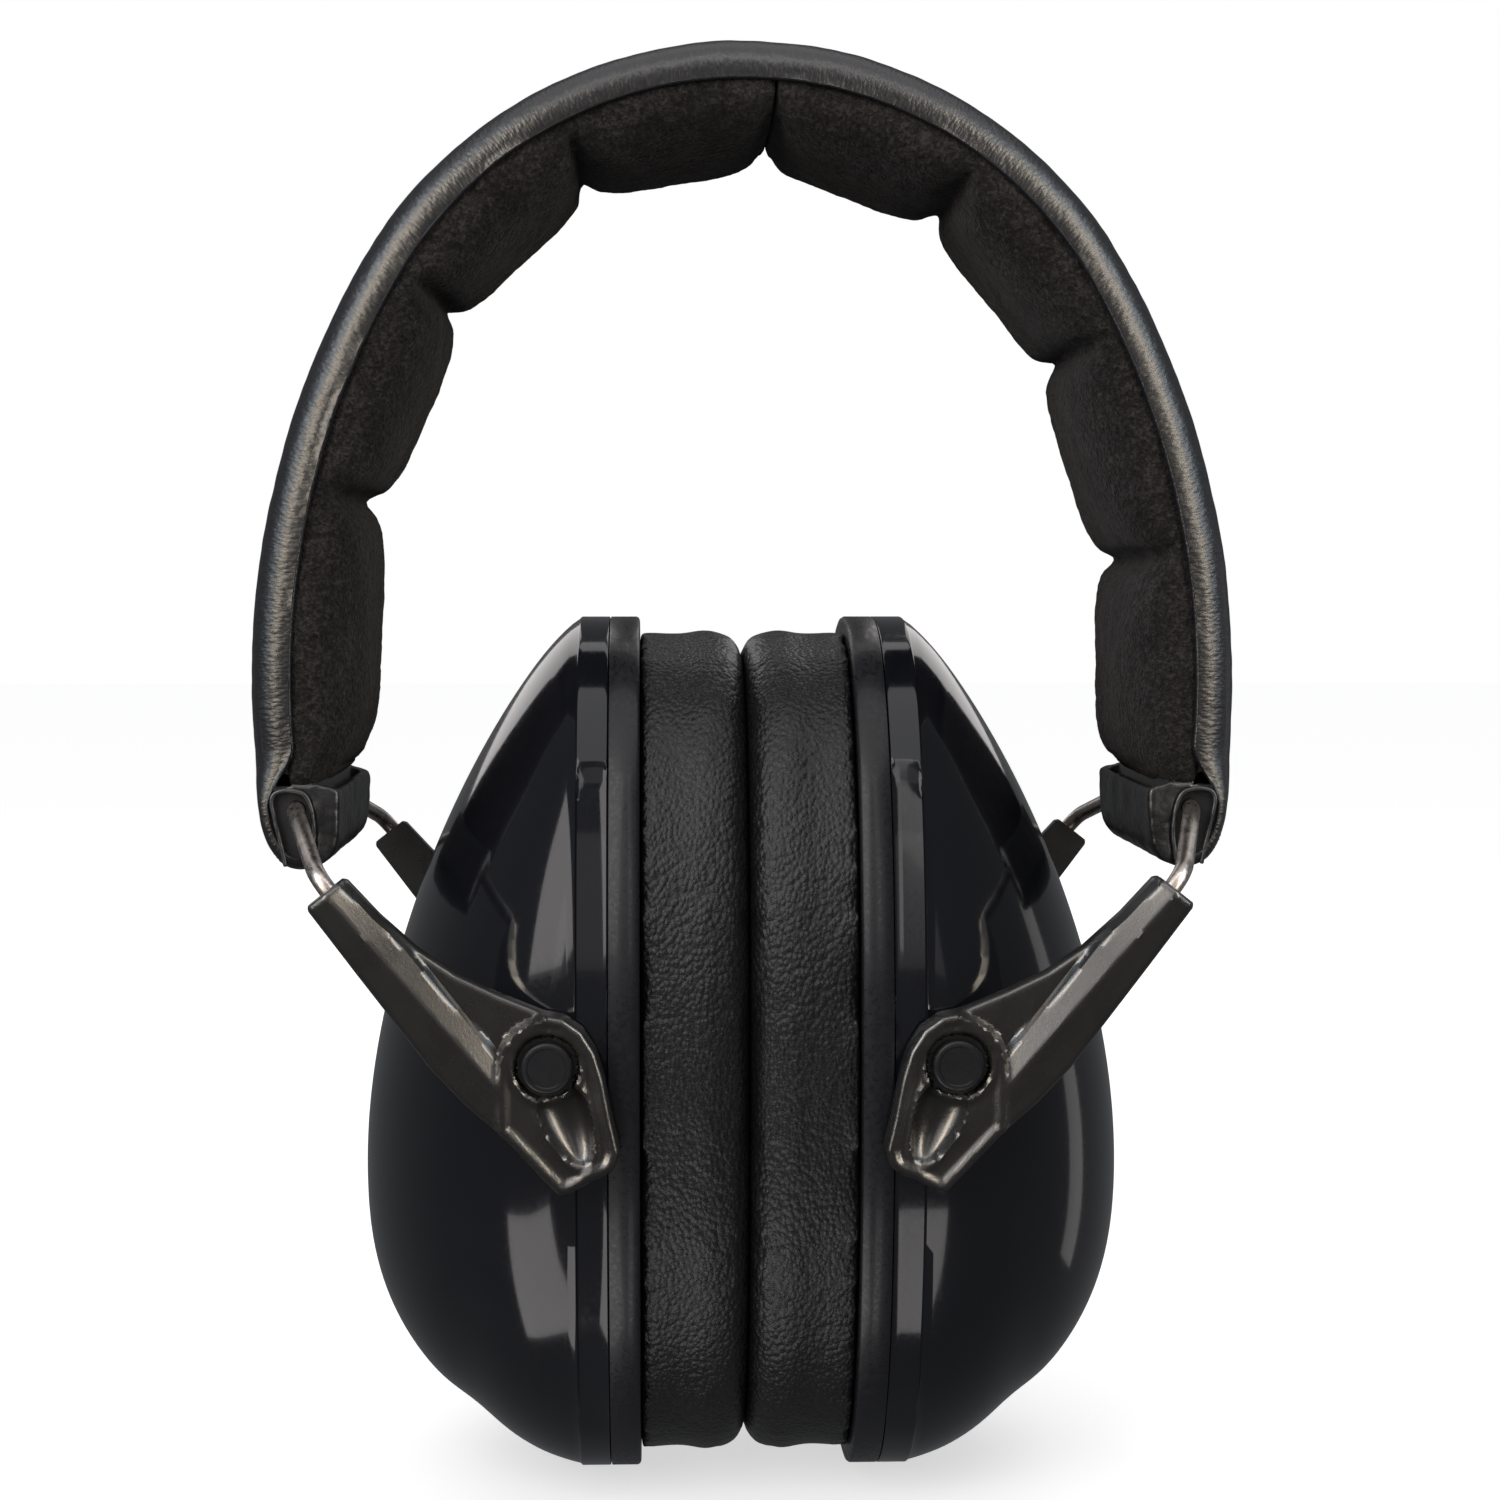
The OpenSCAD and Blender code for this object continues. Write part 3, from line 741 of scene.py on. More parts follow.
def sweep_spring(side_name):
    """Half of the spring strip, with rounded edges."""
    end, middle, half_t = 103.0, 2.7, 0.45     # its end, its middle's depth and half its thickness
    rows = 206
    ring = []
    for y_sign in (1, -1):
        for k in range(5):
            t = math.pi * (k / 4) - math.pi / 2
            ring.append((y_sign * (SPRING_HIGH.y - half_t + half_t * math.cos(t)),
                         middle + y_sign * half_t * math.sin(t)))
    verts = []
    for i in range(rows + 1):
        for y, d in ring:
            p = band_point(end * i / rows, d)
            verts.append((p.x, y, p.y))
    return outward(make_piece(f"spring_strip_{side_name}", verts, loop_faces(rows + 1, len(ring)),
                              SPRING_STEEL, SIDES[side_name], sharp=50))


def stitch_row(side_name, face_name):
    """A row of short stitches beside the seam, on one edge of the band."""
    face = FACES[face_name]
    pitch, length, radius = 1.32, 0.95, 0.11
    verts, faces = [], []
    for i in range(int((LINING_END - 3) / pitch)):
        path = []
        for w in (0, 1 / 3, 2 / 3, 1):
            p = band_point(pitch * (i + 0.2) + length * w, SEAM_DEPTH - 0.33)
            lift = 0.04 + 0.09 * math.sin(math.pi * w)
            path.append(Vector((p.x, face * (DEPTH - 0.28 + lift), p.y)))
        add_part(verts, faces, tube(path, radius, 6))
    return outward(make_piece(f"stitches_{side_name}_{face_name}", verts, faces, THREAD, SIDES[side_name]))


# Front-view outline of the leather pocket at the band's lower end, without its slot
POCKET = [(50.55, -65.0), (50.45, -68.6), (49.95, -71.4), (49.1, -73.7), (47.9, -75.2), (46.4, -75.75),
          (44.7, -75.5), (43.3, -74.7), (42.5, -73.4), (42.2, -71.7), (42.1, -70.0), (42.0, -68.6),
          (42.0, -67.4)]
SLOT_OUTER = [(47.35, -76.2), (47.75, -74.3), (48.35, -71.6), (48.8, -69.6), (48.95, -68.5)]
SLOT_TOP = [(48.6, -67.75), (47.6, -67.45), (46.3, -67.55), (45.55, -67.9)]
SLOT_INNER = [(44.95, -69.0), (44.65, -70.8), (44.6, -72.6), (44.85, -74.4), (45.15, -76.2)]


def plate(outline, y0, y1):
    """Closed slab with the given front-view outline, between two depths."""
    n = len(outline)
    verts = [(p[0], y0, p[1]) for p in outline] + [(p[0], y1, p[1]) for p in outline]
    faces = [tuple(range(n)), tuple(range(2 * n - 1, n - 1, -1))]
    for i in range(n):
        j = (i + 1) % n
        faces.append((i, i + n, j + n, j))
    return verts, faces


def inset_outline(points, amount, closed=True):
    """Outline moved inwards."""
    n = len(points)
    area = sum(points[i].x * points[(i + 1) % n].y - points[(i + 1) % n].x * points[i].y for i in range(n))
    sign = 1 if area > 0 else -1
    out = []
    for i in range(n):
        after = points[(i + 1) % n] if closed else points[min(i + 1, n - 1)]
        before = points[i - 1] if closed else points[max(i - 1, 0)]
        along = (after - before).normalized()
        out.append(points[i] + sign * amount * Vector((-along.y, along.x)))
    return out


def pocket(side_name):
    """The leather pocket: a rounded wall and two faces with a slot for the wire."""
    outline = resample(catmull([Vector(p) for p in POCKET], 8), 0.45)
    slot = catmull([Vector(p) for p in SLOT_OUTER + SLOT_TOP + SLOT_INNER], 6)
    cut = [p for p in slot if p.y > -75.0]
    before = [p for p in outline if p.x > cut[0].x or p.y > -70 and p.x > 46.5]
    after = [p for p in outline if p.x < cut[-1].x]
    verts, faces = [], []
    for face in FACES.values():
        add_part(verts, faces, plate(before + cut + after, face * (DEPTH - 1.5), face * (DEPTH - 0.25)))
    wall = outline + inset_outline(outline, 1.1, closed=False)[::-1]
    add_part(verts, faces, plate(wall, -(DEPTH - 0.8), DEPTH - 0.8))
    piece = outward(make_piece(f"end_pocket_{side_name}", verts, faces, POCKET_LEATHER, SIDES[side_name]))
    add_remesh(piece, 0.32)
    soften = piece.modifiers.new("soften", "SMOOTH")
    soften.factor = 0.6
    soften.iterations = 5
    apply_modifiers(piece)
    piece.data.shade_smooth()
    wrinkle(piece, [(4.0, 0.22), (1.1, 0.07)])
    for vertex in piece.data.vertices:
        room = pocket_room(vertex.co / MM)
        vertex.co.y = min(max(vertex.co.y, -room * MM), room * MM)
    return piece


def pocket_room(p):
    """Half depth left for the pocket at a point, inside the cover's rounded edge and the lining's end."""
    here = Vector((abs(p.x), p.z))
    first = int(96 / OUTER_STEP)
    index = min(range(first, len(OUTER)), key=lambda i: (OUTER[i] - here).length_squared)
    depth = (OUTER[index] - here).length
    s = index * OUTER_STEP
    seam = seam_depth(s)
    room = DEPTH
    if s < LINING_END - 0.2 and depth > 2:
        room = DEPTH - 1.3
    if depth < seam:
        corner = seam * CORNER
        rise = min(1.0, max(0.0, (depth - 0.1) / (corner - 0.1)))
        room = min(room, DEPTH - corner + corner * math.sqrt(1 - (1 - rise) ** 2) - 0.35)
    return room


def slot_hems(side_name):
    """Turned edges of the slots, front and rear."""
    line = catmull([Vector(p) for p in SLOT_OUTER + SLOT_TOP + SLOT_INNER], 8)
    line = resample([p for p in line if p.y > -75.2], 0.3)
    verts, faces = [], []
    for face in FACES.values():
        path = [Vector((p.x, face * (DEPTH - 0.18), p.y)) for p in line]
        add_part(verts, faces, tube(path, 0.24, 10))
    hem = outward(make_piece(f"slot_hem_{side_name}", verts, faces, POCKET_LEATHER, SIDES[side_name]))
    wrinkle(hem, [(1.2, 0.05)])
    return hem


# ------------------------------------------------------------------ yoke wire and arms

def on_beam(t, y):
    p = ARM_END - t * BEAM_OUT
    return Vector((p.x, y, p.y))


def rounded_path(points, reaches):
    """The line through points, its corners rounded from the given distances."""
    steps = 10
    out = [points[0]]
    for i in range(1, len(points) - 1):
        before = points[i] + reaches[i] * (points[i - 1] - points[i]).normalized()
        after = points[i] + reaches[i] * (points[i + 1] - points[i]).normalized()
        for k in range(steps + 1):
            w = k / steps
            out.append((1 - w) ** 2 * before + 2 * w * (1 - w) * points[i] + w * w * after)
    out.append(points[-1])
    return out


def yoke_wire(side_name):
    """One wire, from arm to arm through the hinge at the band's end."""
    half = [Vector((HINGE.x, DEPTH, HINGE.z)), on_beam(-1.6, LEG_Y), on_beam(20, LEG_Y)]
    other = [Vector((p.x, -p.y, p.z)) for p in reversed(half)]
    verts, faces = tube(rounded_path(other + half, [0, 2.6, 1.6, 1.6, 2.6, 0]), 0.9, 20)
    return outward(make_piece(f"yoke_wire_{side_name}", verts, faces, WIRE_STEEL, SIDES[side_name]))


# An arm seen from the front: along its beam from the outer end, and over the beam's axis
ARM_OUTLINE = [
    (0.0, -2.3), (0.35, -2.65), (8, -2.8), (20, -2.95), (25, -2.45), (29.8, -1.45), (37.0, -0.75),
    (37.6, -0.1), (38.5, 4.6), (38.3, 5.4), (37.5, 6.5), (34.6, 7.85), (31.0, 9.7), (28.4, 10.7),
    (26.0, 10.95), (23.8, 10.3), (22.3, 8.95), (18.2, 6.6), (14.2, 4.6), (9.9, 3.2), (5.0, 2.35),
    (0.4, 1.95), (0.0, 1.6),
]
HEAD_EDGE = [(22.6, 9.4), (22.0, 7.3), (21.84, 5.5), (22.4, 3.7), (23.64, 2.32), (28.9, -1.85)]
SCOOP = ((31.9, 4.45), 4.7, 2.3, 17)       # centre, half length, half width and turn of the finger scoop
PIN_WELL = (2.95, 3.15)                    # radii of the foot and the top of the wall round a pin


def segment_distance(p, a, b):
    hit, t = intersect_point_line(p, a, b)
    hit = a if t < 0 else b if t > 1 else hit
    return (p - Vector(hit[:2])).length


def edge_distance(p, outline):
    """How far a point is from a closed outline."""
    return min(segment_distance(p, a, b) for a, b in zip(outline, outline[1:] + outline[:1]))


def is_inside(p, outline):
    inside = False
    for a, b in zip(outline, outline[1:] + outline[:1]):
        if (a.y > p.y) != (b.y > p.y) and p.x < (b.x - a.x) * (p.y - a.y) / (b.y - a.y) + a.x:
            inside = not inside
    return inside


def side_of(p, line):
    """Signed distance from an open line: positive on its left."""
    best, sign = 1e9, 1
    for a, b in zip(line, line[1:]):
        d = segment_distance(p, a, b)
        if d < best:
            ab, ap = b - a, p - a
            best, sign = d, 1 if ab.x * ap.y - ab.y * ap.x > 0 else -1
    return best * sign


def arm_relief(p, outline, head_edge):
    """Height of an arm's outer face over its flat, at a front-view point."""
    ridge = -0.3 + 1.3 * p.x / 25
    border = 1.42 + 0.12 * min(p.x, 9.4) + 0.031 * max(0.0, p.x - 9.4)
    if p.y < ridge:
        beam = -0.8 * (ridge - p.y) / (ridge + 2.8)
    else:
        beam = -1.05 * min(1.0, (p.y - ridge) / (border - ridge))
    web = -1.85
    height = mix(beam, web, smoothstep(border - 0.12, border + 0.22, p.y))

    inside = side_of(p, head_edge)
    edge = edge_distance(p, outline)
    rim_place = min(abs(inside), edge) if inside > 0 else 0.0
    dish = -0.05 - 0.45 * smoothstep(0.55, 1.5, rim_place)
    centre, long_r, short_r, turn = SCOOP
    c, s = math.cos(math.radians(turn)), math.sin(math.radians(turn))
    q = p - Vector(centre)
    q = Vector((q.x * c - q.y * s, q.x * s + q.y * c))
    widen = 1 - 0.16 * q.x / long_r
    r = math.hypot(q.x / long_r, q.y / (short_r * widen))
    scoop = -1.6 * max(0.0, 1 - r * r) ** 0.6 + 0.25 * math.exp(-((r - 1.12) / 0.13) ** 2)
    pin = (p - Vector((PIN_U, PIN_V))).length
    head = dish + scoop + 0.3 * math.exp(-((pin - 3.5) / 0.32) ** 2)
    well_floor = -1.25
    head = mix(well_floor, head, smoothstep(*PIN_WELL, pin))

    height = mix(height, head, smoothstep(-0.25, 0.25, inside))
    edge_radius = 0.6
    rounding = 0.55 * (1 - math.sqrt(max(0.0, 1 - max(0.0, 1 - edge / edge_radius) ** 2)))
    return height - rounding


def arm_shape():
    """Triangulated front view of an arm: points, relief, triangles and boundary."""
    outline = resample([Vector(p) for p in ARM_OUTLINE] + [Vector(ARM_OUTLINE[0])], 0.32)[:-1]
    head_edge = [Vector(p) for p in HEAD_EDGE]
    n = len(outline)
    points = list(outline)
    for inset in (0.12, 0.28, 0.5):
        points += inset_outline(outline, inset)
    step, margin, round_pin = 0.3, 0.62, 48
    for i in range(int(39 / step)):
        for k in range(int(14 / step)):
            p = Vector((i * step + (k % 2) * step / 2, -3 + k * step))
            if is_inside(p, outline) and edge_distance(p, outline) > margin:
                points.append(p)
    for radius in PIN_WELL:
        for k in range(round_pin):
            t = 2 * math.pi * k / round_pin
            points.append(Vector((PIN_U + radius * math.cos(t), PIN_V + radius * math.sin(t))))
    edges = [(i, (i + 1) % n) for i in range(n)]
    flat, _, triangles, origins = delaunay_2d_cdt(points, edges, [], 1, 1e-5)[:4]
    boundary = [None] * n
    for new, olds in enumerate(origins):
        for old in olds:
            if old < n:
                boundary[old] = new
    return flat, [arm_relief(p, outline, head_edge) for p in flat], triangles, boundary


ARM_SHAPE = arm_shape()


def arm(side_name, face_name):
    """One arm: the relief on its outer face, a flat inner face and a wall round both."""
    flat, relief, triangles, boundary = ARM_SHAPE
    face = FACES[face_name]
    count = len(flat)
    verts, faces = [], []
    for level in (1, 0):
        for p, h in zip(flat, relief):
            place = ARM_END - p.x * BEAM_OUT + p.y * BEAM_UP
            y = ARM_HALF_T + h if level else -ARM_HALF_T
            verts.append((place.x, face * (LEG_Y + y), place.y))
    for a, b, c in triangles:
        faces += [(a, b, c), (c + count, b + count, a + count)]
    for a, b in zip(boundary, boundary[1:] + boundary[:1]):
        faces.append((a, a + count, b + count, b))
    return outward(make_piece(
        f"arm_{side_name}_{face_name}", verts, faces, ARM_PLASTIC, SIDES[side_name], sharp=38))


def pivot_pin(side_name, face_name):
    """A pin turned about a front-to-back axis; its profile is (radius, y) from the middle outwards."""
    top = PIN_HIGH.y + 0.05
    profile = [
        (1.8, HALF_CUP_W - 5), (1.8, top - 1.0), (2.35, top - 1.0), (2.5, top - 0.85), (2.5, top - 0.25),
        (2.42, top - 0.08), (2.25, top), (1.95, top - 0.02), (1.85, top - 0.12), (1.0, top - 0.16),
        (0.15, top - 0.17),
    ]
    segments = 56
    verts = []
    for r, y in profile:
        for k in range(segments):
            t = 2 * math.pi * k / segments
            verts.append((PIVOT.x + r * math.cos(t), FACES[face_name] * y, PIVOT.z + r * math.sin(t)))
    return outward(make_piece(f"pin_{side_name}_{face_name}", verts, loop_faces(len(profile), segments),
                              PIN_PLASTIC, SIDES[side_name], sharp=40))


# ------------------------------------------------------------------ cups

def oval_point(half_w, half_h, angle, exponent=OVAL):
    c, s = math.cos(angle), math.sin(angle)
    y = half_w * math.copysign(abs(c) ** (2 / exponent), c)
    z = half_h * math.copysign(abs(s) ** (2 / exponent), s)
    return y, z


def oval_angles(count):
    """Angles that space points evenly round the cup's oval."""
    fine = [2 * math.pi * i / 1440 for i in range(1441)]
    places = [Vector(oval_point(HALF_CUP_W, HALF_H, a)) for a in fine]
    total = [0.0]
    for a, b in zip(places, places[1:]):
        total.append(total[-1] + (b - a).length)
    out, k = [], 0
    for i in range(count):
        target = total[-1] * i / count
        while total[k + 1] < target:
            k += 1
        w = (target - total[k]) / max(total[k + 1] - total[k], 1e-9)
        out.append(mix(fine[k], fine[k + 1], w))
    return out


RING = oval_angles(208)
UPPER_K = 0.57                # exponents of the dome's upper and lower curves, from its rim to its apex
LOWER_K = 0.365
POCKET_TOP = CUP_Z + 31.0     # top edge of the shallow recess in which an arm's head lies
POCKET_WIDE = 3.2             # how far the recess reaches outwards from the parting line
POCKET_DEEP = 0.5
CREASE = 0.22                 # depth of the crease between the straight rim and the dome


def dome_point(u, angle, wall):
    """Place on the dome: u runs from 0 at its rim to 1 at its apex, and wall is a depth under its face."""
    power = max(0.0, 1 - u ** 1.2)
    up = (HALF_H - APEX_DZ - wall) * power ** UPPER_K
    down = (HALF_H + APEX_DZ - wall) * power ** LOWER_K
    down -= 0.7 * math.exp(-((u - 0.48) / 0.13) ** 2)      # the lower curve is slightly hollowed
    half_w = (HALF_CUP_W - wall) * max(0.0, 1 - u ** 1.9) ** 0.5
    middle = APEX_DZ + (up - down) / 2
    y, z = oval_point(half_w, (up + down) / 2, angle, OVAL - 0.3 * u)
    return y, CUP_Z + middle + z


def recess(x, y, z):
    """How deep the front or back face lies below the plain shell at a point."""
    out = x - RIM_X0
    across = smoothstep(-0.05, 0.2, out) * (1 - smoothstep(POCKET_WIDE - 0.15, POCKET_WIDE + 0.05, out))
    below = 1 - smoothstep(POCKET_TOP - 1.0, POCKET_TOP, z + 0.25 * max(0.0, out - POCKET_WIDE + 1.5) ** 2)
    faces_out = smoothstep(0.62, 0.75, abs(y) / HALF_CUP_W)
    return POCKET_DEEP * across * below * faces_out


def cup_shell(side_name):
    """The shell's rim and dome outside, and its plainer inside, closed along the rim."""
    reach = REACH - RIM_X1
    steps, inner_steps, wall = 44, 14, 2.2
    rim = [(0.04, 0.3), (0.04, 0.16), (0.07, 0.05), (0.14, 0.0), (0.5, 0), (1.0, 0), (1.6, 0), (2.2, 0),
           (2.8, 0), (3.05, 0), (3.15, 0.05), (3.24, 0.16)]
    dome = [1 - (1 - i / steps) ** 1.55 for i in range(steps)] + [0.9995, 0.9999, 0.99999]
    rows = [(RIM_X0 + dx, 0, inset) for dx, inset in rim]
    rows += [(RIM_X1 + u * reach, u, CREASE * (1 - smoothstep(0, 0.2, u))) for u in dome]
    verts = []
    for x, u, inset in rows:
        for angle in RING:
            y, z = dome_point(u, angle, inset)
            verts.append((x, y - math.copysign(recess(x, y, z), y), z))
    for i in range(inner_steps + 2):
        u = 0.999 * (1 - (max(0, i - 1) / inner_steps) ** 1.5)
        x = RIM_X1 + u * (reach - wall) if i <= inner_steps else RIM_X0 + 0.04
        for angle in RING:
            y, z = dome_point(u, angle, wall)
            verts.append((x, y, z))
    row_count = len(rows) + inner_steps + 2
    n = len(RING)
    pole = len(rows) * n                        # the inside's first point
    faces = [f for f in loop_faces(row_count, n, caps=False) if min(f) >= pole or max(f) < pole]
    faces += [tuple(range(pole - n, pole)), tuple(range(pole, pole + n))]
    faces += closing_faces(row_count, n)
    return outward(make_piece(f"cup_{side_name}", verts, faces, CUP_PLASTIC, SIDES[side_name], sharp=42))


def cushion_sewn(p):
    """A cushion is glued to its plate."""
    return abs(p.x) > CUSHION_HIGH.x - 0.9


def cushion_limit(p):
    """A cushion presses flat against the other one, and stays off its plate."""
    low, reach, contact = CUSHION_LOW.x, 3, 0.03
    x = min(max(p.x, low), CUSHION_HIGH.x)
    if x < low + reach:
        x = mix(contact, low + reach, (x - low) / reach)
    return Vector((x, p.y, p.z))


def oval_ring(name, side, outer, inner, profile, material, sharp=None):
    """Ring round the cup's oval, from profile points (x, share, offset): share 0 is outer, 1 is inner."""
    verts, uvs = [], []
    length = 4.1 * (outer[0] + outer[1])
    lengths = line_lengths([(x, share * 12 + offset) for x, share, offset in profile])
    n = len(RING)
    for (x, share, offset), v in zip(profile, lengths):
        grow = -offset if share < 0.5 else offset
        for k, angle in enumerate(RING):
            a = Vector(oval_point(outer[0] + grow, outer[1] + grow, angle))
            b = Vector(oval_point(inner[0] + grow, inner[1] + grow, angle))
            p = a.lerp(b, share)
            verts.append((x, p.x, CUP_Z + p.y))
            uvs.append((abs(2 * k / n - 1) * length / 2 * MM, v * MM))
    faces = loop_faces(len(profile), n, caps=False) + closing_faces(len(profile), n)
    return outward(make_piece(name, verts, faces, material, side, uvs=uvs, sharp=sharp))


def backing_plate(side_name):
    x0, x1 = PLATE_X, RIM_X0 - 0.02
    profile = [
        (x0, 0, 0.9), (x0, 0, 0.45), (x0 + 0.1, 0, 0.15), (x0 + 0.35, 0, 0.0), (x0 + 1.4, 0, 0.0),
        (x1 - 0.12, 0, 0.0), (x1 - 0.04, 0, 0.05), (x1, 0, 0.3), (x1, 0.5, 0.0), (x1, 1, 0.4),
        (x1 - 0.4, 1, 0.0), (x0 + 0.4, 1, 0.0), (x0 + 0.1, 1, 0.15), (x0, 1, 0.4), (x0, 0.5, 0),
    ]
    return oval_ring(f"rim_plate_{side_name}", SIDES[side_name], (HALF_CUP_W, HALF_H),
                     (EAR_HALF_W, EAR_HALF_H), profile, RIM_PLASTIC, sharp=40)


def ear_cushion():
    """The right ear cushion: a waisted outer wall that swells to a rounded contact edge."""
    inset = PLATE_HIGH.z - CUSHION_HIGH.z
    x_in, x_out = CUSHION_LOW.x, CUSHION_HIGH.x
    edge = x_in + 2.6                           # the wall ends and the rounded contact edge begins
    profile = [(x_out, 0.5, 0), (x_out, 0.12, 0), (x_out, 0, 0.45), (x_out - 0.15, 0, 0.15)]
    for i in range(17):
        t = i / 16
        swell = 0.42 * math.sin(math.pi * min(1, t * 1.15)) - 0.32 * smoothstep(0.55, 1, t)
        profile.append((mix(x_out - 0.4, edge, t), 0, 0.1 + swell))
    for i in range(1, 10):
        t = math.pi / 2 * i / 10
        profile.append((edge - 2.55 * math.sin(t), 0, -0.22 + 2.5 * (1 - math.cos(t)) ** 1.15))
    for i in range(1, 6):
        t = i / 6
        profile.append((x_in + 0.03 + 0.02 * math.sin(math.pi * t), 0.14 + 0.66 * t, 0))
    for i in range(1, 9):
        t = math.pi / 2 * i / 9
        profile.append((x_in + 0.05 + 2.4 * (1 - math.cos(t)), 1, 2.2 * (1 - math.sin(t))))
    profile += [(mix(edge, x_out - 0.3, k / 5), 1, 0.25 * math.sin(math.pi * k / 5)) for k in range(6)]
    profile += [(x_out, 0.9, 0)]
    pad = oval_ring("ear_cushion_right", 1, (HALF_CUP_W - inset, HALF_H - inset),
                    (EAR_HALF_W + 1, EAR_HALF_H + 1), profile, CUSHION_LEATHER)
    plump(pad, 1.2, 0.5, cushion_sewn, cushion_limit)
    wrinkle(pad, [(9.0, 0.14), (2.2, 0.035)], lambda p: smoothstep(0.6, 2.2, abs(p.x)))
    return pad


def foam_pad(side_name):
    """Acoustic foam pillow inside the cup."""
    x0, x1 = FOAM_LOW.x, FOAM_HIGH.x
    half_w, half_h = FOAM_HIGH.y, (FOAM_HIGH.z - FOAM_LOW.z) / 2
    angles = RING[::2]
    rows = [(x1, 0.02), (x1, 0.5), (x1, 0.9), (x1 - 0.8, 0.98), (x1 - 2, 1.0), (mix(x0, x1, 0.5), 1.0),
            (x0 + 2.6, 1.0), (x0 + 1.3, 0.975), (x0 + 0.6, 0.92), (x0 + 0.25, 0.82), (x0 + 0.1, 0.65),
            (x0 + 0.03, 0.45), (x0, 0.25), (x0, 0.02)]
    verts = []
    for x, scale in rows:
        for angle in angles:
            y, z = oval_point(half_w * scale, half_h * scale, angle)
            verts.append((x, y, CUP_Z + z))
    piece = outward(make_piece(f"acoustic_foam_{side_name}", verts, loop_faces(len(rows), len(angles)),
                               ACOUSTIC_FOAM, SIDES[side_name]))
    wrinkle(piece, [(3.0, 0.18), (0.9, 0.12)])
    return piece


# ------------------------------------------------------------------ assembly

def attach(piece, body, nodes=()):
    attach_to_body(piece, body)
    if nodes:
        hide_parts(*nodes)


def bend_with_band(piece, nodes):
    """Hides the frame's nodes that the piece stands in for, and bakes the piece's placement into its points.
    """
    if nodes:
        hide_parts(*nodes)
    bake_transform(piece)


LININGS = {side_name: sweep_lining(side_name) for side_name in SIDES}
CUSHIONS = {"right": ear_cushion()}
CUSHIONS["left"] = mirrored(CUSHIONS["right"], "ear_cushion_left")

for side_name in SIDES:
    band, yoke = f"{side_name}_band", f"{side_name}_yoke"
    arms, cup = f"{side_name}_arms", f"{side_name}_cup"

    bend_with_band(sweep_cover(side_name),
                   [f"headband_cover_{side_name}", "headband_cover_crown"])
    lining = LININGS[side_name]
    bend_with_band(lining,
                   [f"headband_lining_{side_name}", "headband_lining_crown",
                    f"headband_foam_{side_name}", "headband_foam_crown"])
    bend_with_band(sweep_spring(side_name), ["spring_band"])
    for face_name in FACES:
        bend_with_band(stitch_row(side_name, face_name), [])

    attach(pocket(side_name), band, [f"end_pocket_{side_name}"])
    attach(slot_hems(side_name), band)
    attach(yoke_wire(side_name), yoke, [f"yoke_wire_{side_name}"])
    for face_name in FACES:
        attach(arm(side_name, face_name), arms, [f"{face_name}_arm_{side_name}"])
        attach(pivot_pin(side_name, face_name), cup, [f"pivot_pins_{side_name}"])
    attach(cup_shell(side_name), cup, [f"cup_shell_{side_name}"])
    attach(backing_plate(side_name), cup, [f"backing_plate_{side_name}"])
    attach(foam_pad(side_name), cup, [f"acoustic_foam_{side_name}"])
    pad = CUSHIONS[side_name]
    attach(pad, cup, [f"cushion_skin_{side_name}", f"cushion_foam_{side_name}"])
    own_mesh(pad)
    for node, material in ((f"hinge_block_{side_name}", BLOCK_PLASTIC),
                           (f"hinge_rivets_{side_name}", RIVET_STEEL)):
        mesh = frame["nodes"][node].data
        mesh.materials.clear()
        mesh.materials.append(material)


# ------------------------------------------------------------------ stage and light

def add_floor():
    half, cells, z = 2500, 8, PLATE_LOW.z - 0.05
    verts, faces = [], []
    for i in range(cells + 1):
        for k in range(cells + 1):
            verts.append((half * (2 * i / cells - 1), half * (2 * k / cells - 1), z))
    for i in range(cells):
        for k in range(cells):
            a = i * (cells + 1) + k
            faces.append((a, a + cells + 1, a + cells + 2, a + 1))
    look = Look("floor", (0.9, 0.9, 0.9), 0.8, Emission_Color=(1, 1, 1, 1), Emission_Strength=0.62)
    floor = make_piece("floor", verts, faces, look.material)
    floor.visible_glossy = False
    floor.visible_diffuse = False
    floor.visible_shadow = False


def softbox(name, azimuth, elevation, distance, size, radiance, tint, lit):
    """Rectangular lamp aimed at the object; azimuth is 0 in front, 90 at +X. It lights one group, or all."""
    turn, lift = math.radians(azimuth), math.radians(elevation)
    data = bpy.data.lights.new(name, "AREA")
    data.shape = "RECTANGLE"
    data.size, data.size_y = size
    data.energy = math.pi * size[0] * size[1] * radiance
    data.color = tint
    lamp = add_object(name, data)
    lamp.location = CENTRE + distance * Vector((
        math.sin(turn) * math.cos(lift), -math.cos(turn) * math.cos(lift), math.sin(lift)))
    aim(lamp, CENTRE)
    if lit:
        lamp.light_linking.receiver_collection = lit


def add_sky():
    """Even light from above, for the floor."""
    data = bpy.data.lights.new("sky", "SUN")
    data.energy = 1.0
    data.angle = math.radians(80)
    add_object("sky", data)


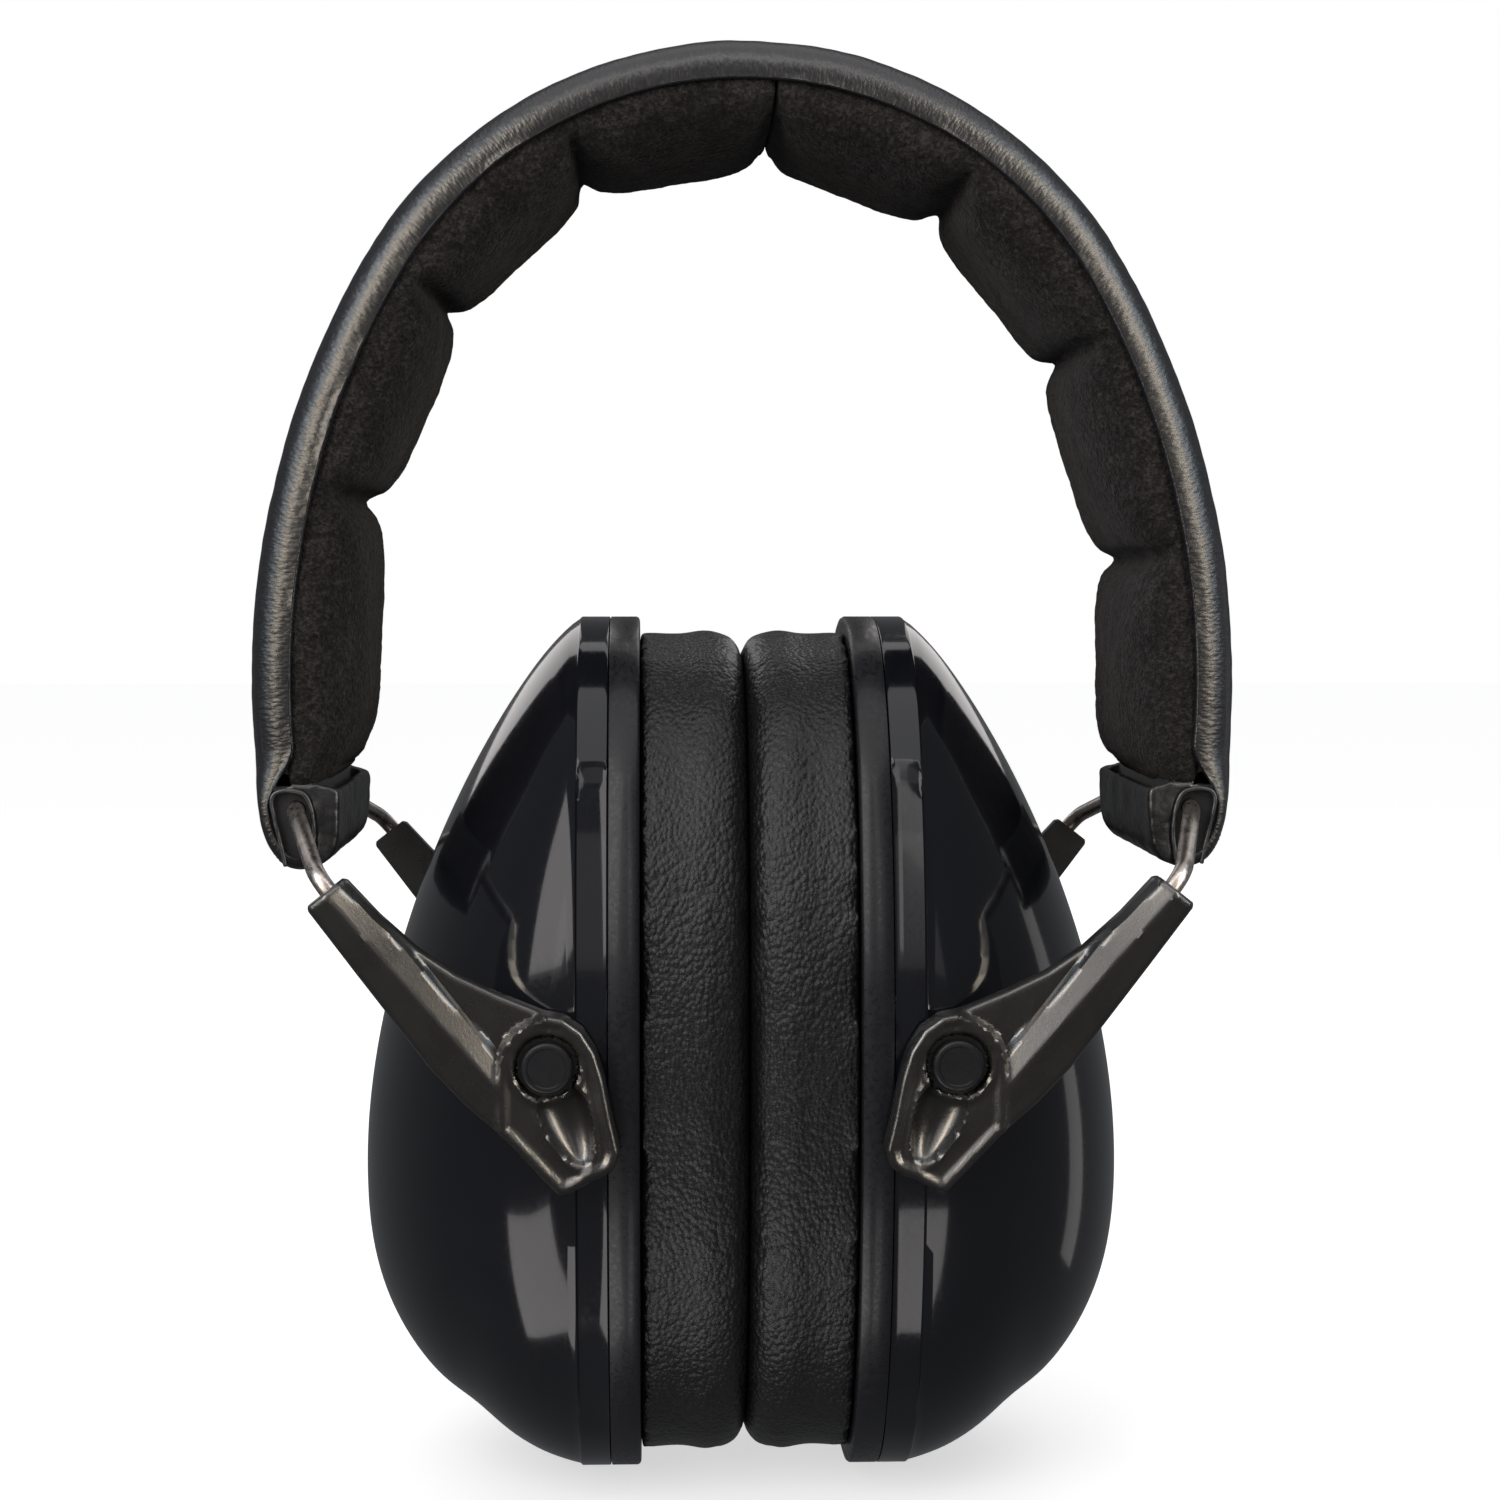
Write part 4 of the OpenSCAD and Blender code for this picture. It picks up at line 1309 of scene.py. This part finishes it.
def add_world():
    """Pale surroundings: white behind the object, softer in what it reflects."""
    world = bpy.data.worlds.new("studio")
    world.use_nodes = True
    tree = world.node_tree
    backdrop = tree.nodes["Background"]
    backdrop.inputs["Color"].default_value = (1, 1, 1, 1)
    backdrop.inputs["Strength"].default_value = 1.0
    fill = tree.nodes.new("ShaderNodeBackground")
    fill.inputs["Color"].default_value = (0.95, 0.97, 1.0, 1)
    fill.inputs["Strength"].default_value = 0.10
    path = tree.nodes.new("ShaderNodeLightPath")
    blend = tree.nodes.new("ShaderNodeMixShader")
    tree.links.new(path.outputs["Is Camera Ray"], blend.inputs[0])
    tree.links.new(fill.outputs[0], blend.inputs[1])
    tree.links.new(backdrop.outputs[0], blend.inputs[2])
    tree.links.new(blend.outputs[0], tree.nodes["World Output"].inputs["Surface"])
    bpy.context.scene.world = world


def group(name, leading, inside):
    """The pieces whose names start in one of the given ways, or all the others."""
    made = bpy.data.collections.new(name)
    for piece in bpy.context.scene.objects:
        if piece.type in ("MESH", "CURVE") and piece.name.startswith(leading) == inside:
            made.objects.link(piece)
    return made


add_floor()
add_world()

# Raking lamps, shaded off the glossy cups, draw out the band's edge and the arms' facets;
# the frontal ones are shaded off the band's cover and pockets, and the lower ones off the arms too.
RAKED = group("raked", ("band_", "arm_", "end_pocket", "slot_hem", "yoke_wire", "stitches"), True)
FRONTAL = group("frontal", ("band_cover", "end_pocket"), False)
LOWER = group("lower", ("band_cover", "end_pocket", "arm_"), False)

CENTRE = Vector((0, 0, -0.085))
WARM = (1.0, 0.955, 0.95)
COOL = (0.72, 0.86, 1.0)
TAN = (1.0, 0.88, 0.72)
SOFTBOXES = [
    ("key_left", -31, 30, 0.62, (0.36, 0.52), 2.1, WARM, FRONTAL),
    ("key_left_low", -34, -42, 0.50, (0.30, 0.26), 1.9, WARM, LOWER),
    ("key_right", 12, 30, 0.62, (0.09, 0.50), 1.3, WARM, FRONTAL),
    ("key_right_low", 12, -42, 0.50, (0.09, 0.26), 1.6, WARM, LOWER),
    ("edge_right", 112, -8, 0.55, (0.10, 0.40), 0.5, WARM, None),
    ("top", 0, 68, 0.60, (0.5, 0.10), 4.0, WARM, RAKED),
    ("front", 0, 20, 0.85, (0.7, 0.45), 0.28, WARM, LOWER),
    ("rear_left", -152, 28, 0.62, (0.30, 0.45), 1.0, WARM, FRONTAL),
    ("rear_right", 152, 28, 0.62, (0.30, 0.45), 1.0, WARM, FRONTAL),
]
for sign in SIDES.values():
    SOFTBOXES.append((f"rake_cool_{sign}", 70 * sign, 30, 0.55, (0.08, 0.50), 7.5, COOL, RAKED))
    SOFTBOXES.append((f"rake_warm_{sign}", 49 * sign, 24, 0.55, (0.12, 0.50), 14.0, TAN, RAKED))
for row in SOFTBOXES:
    softbox(*row)
add_sky()
bpy.context.scene.view_settings.view_transform = "Standard"
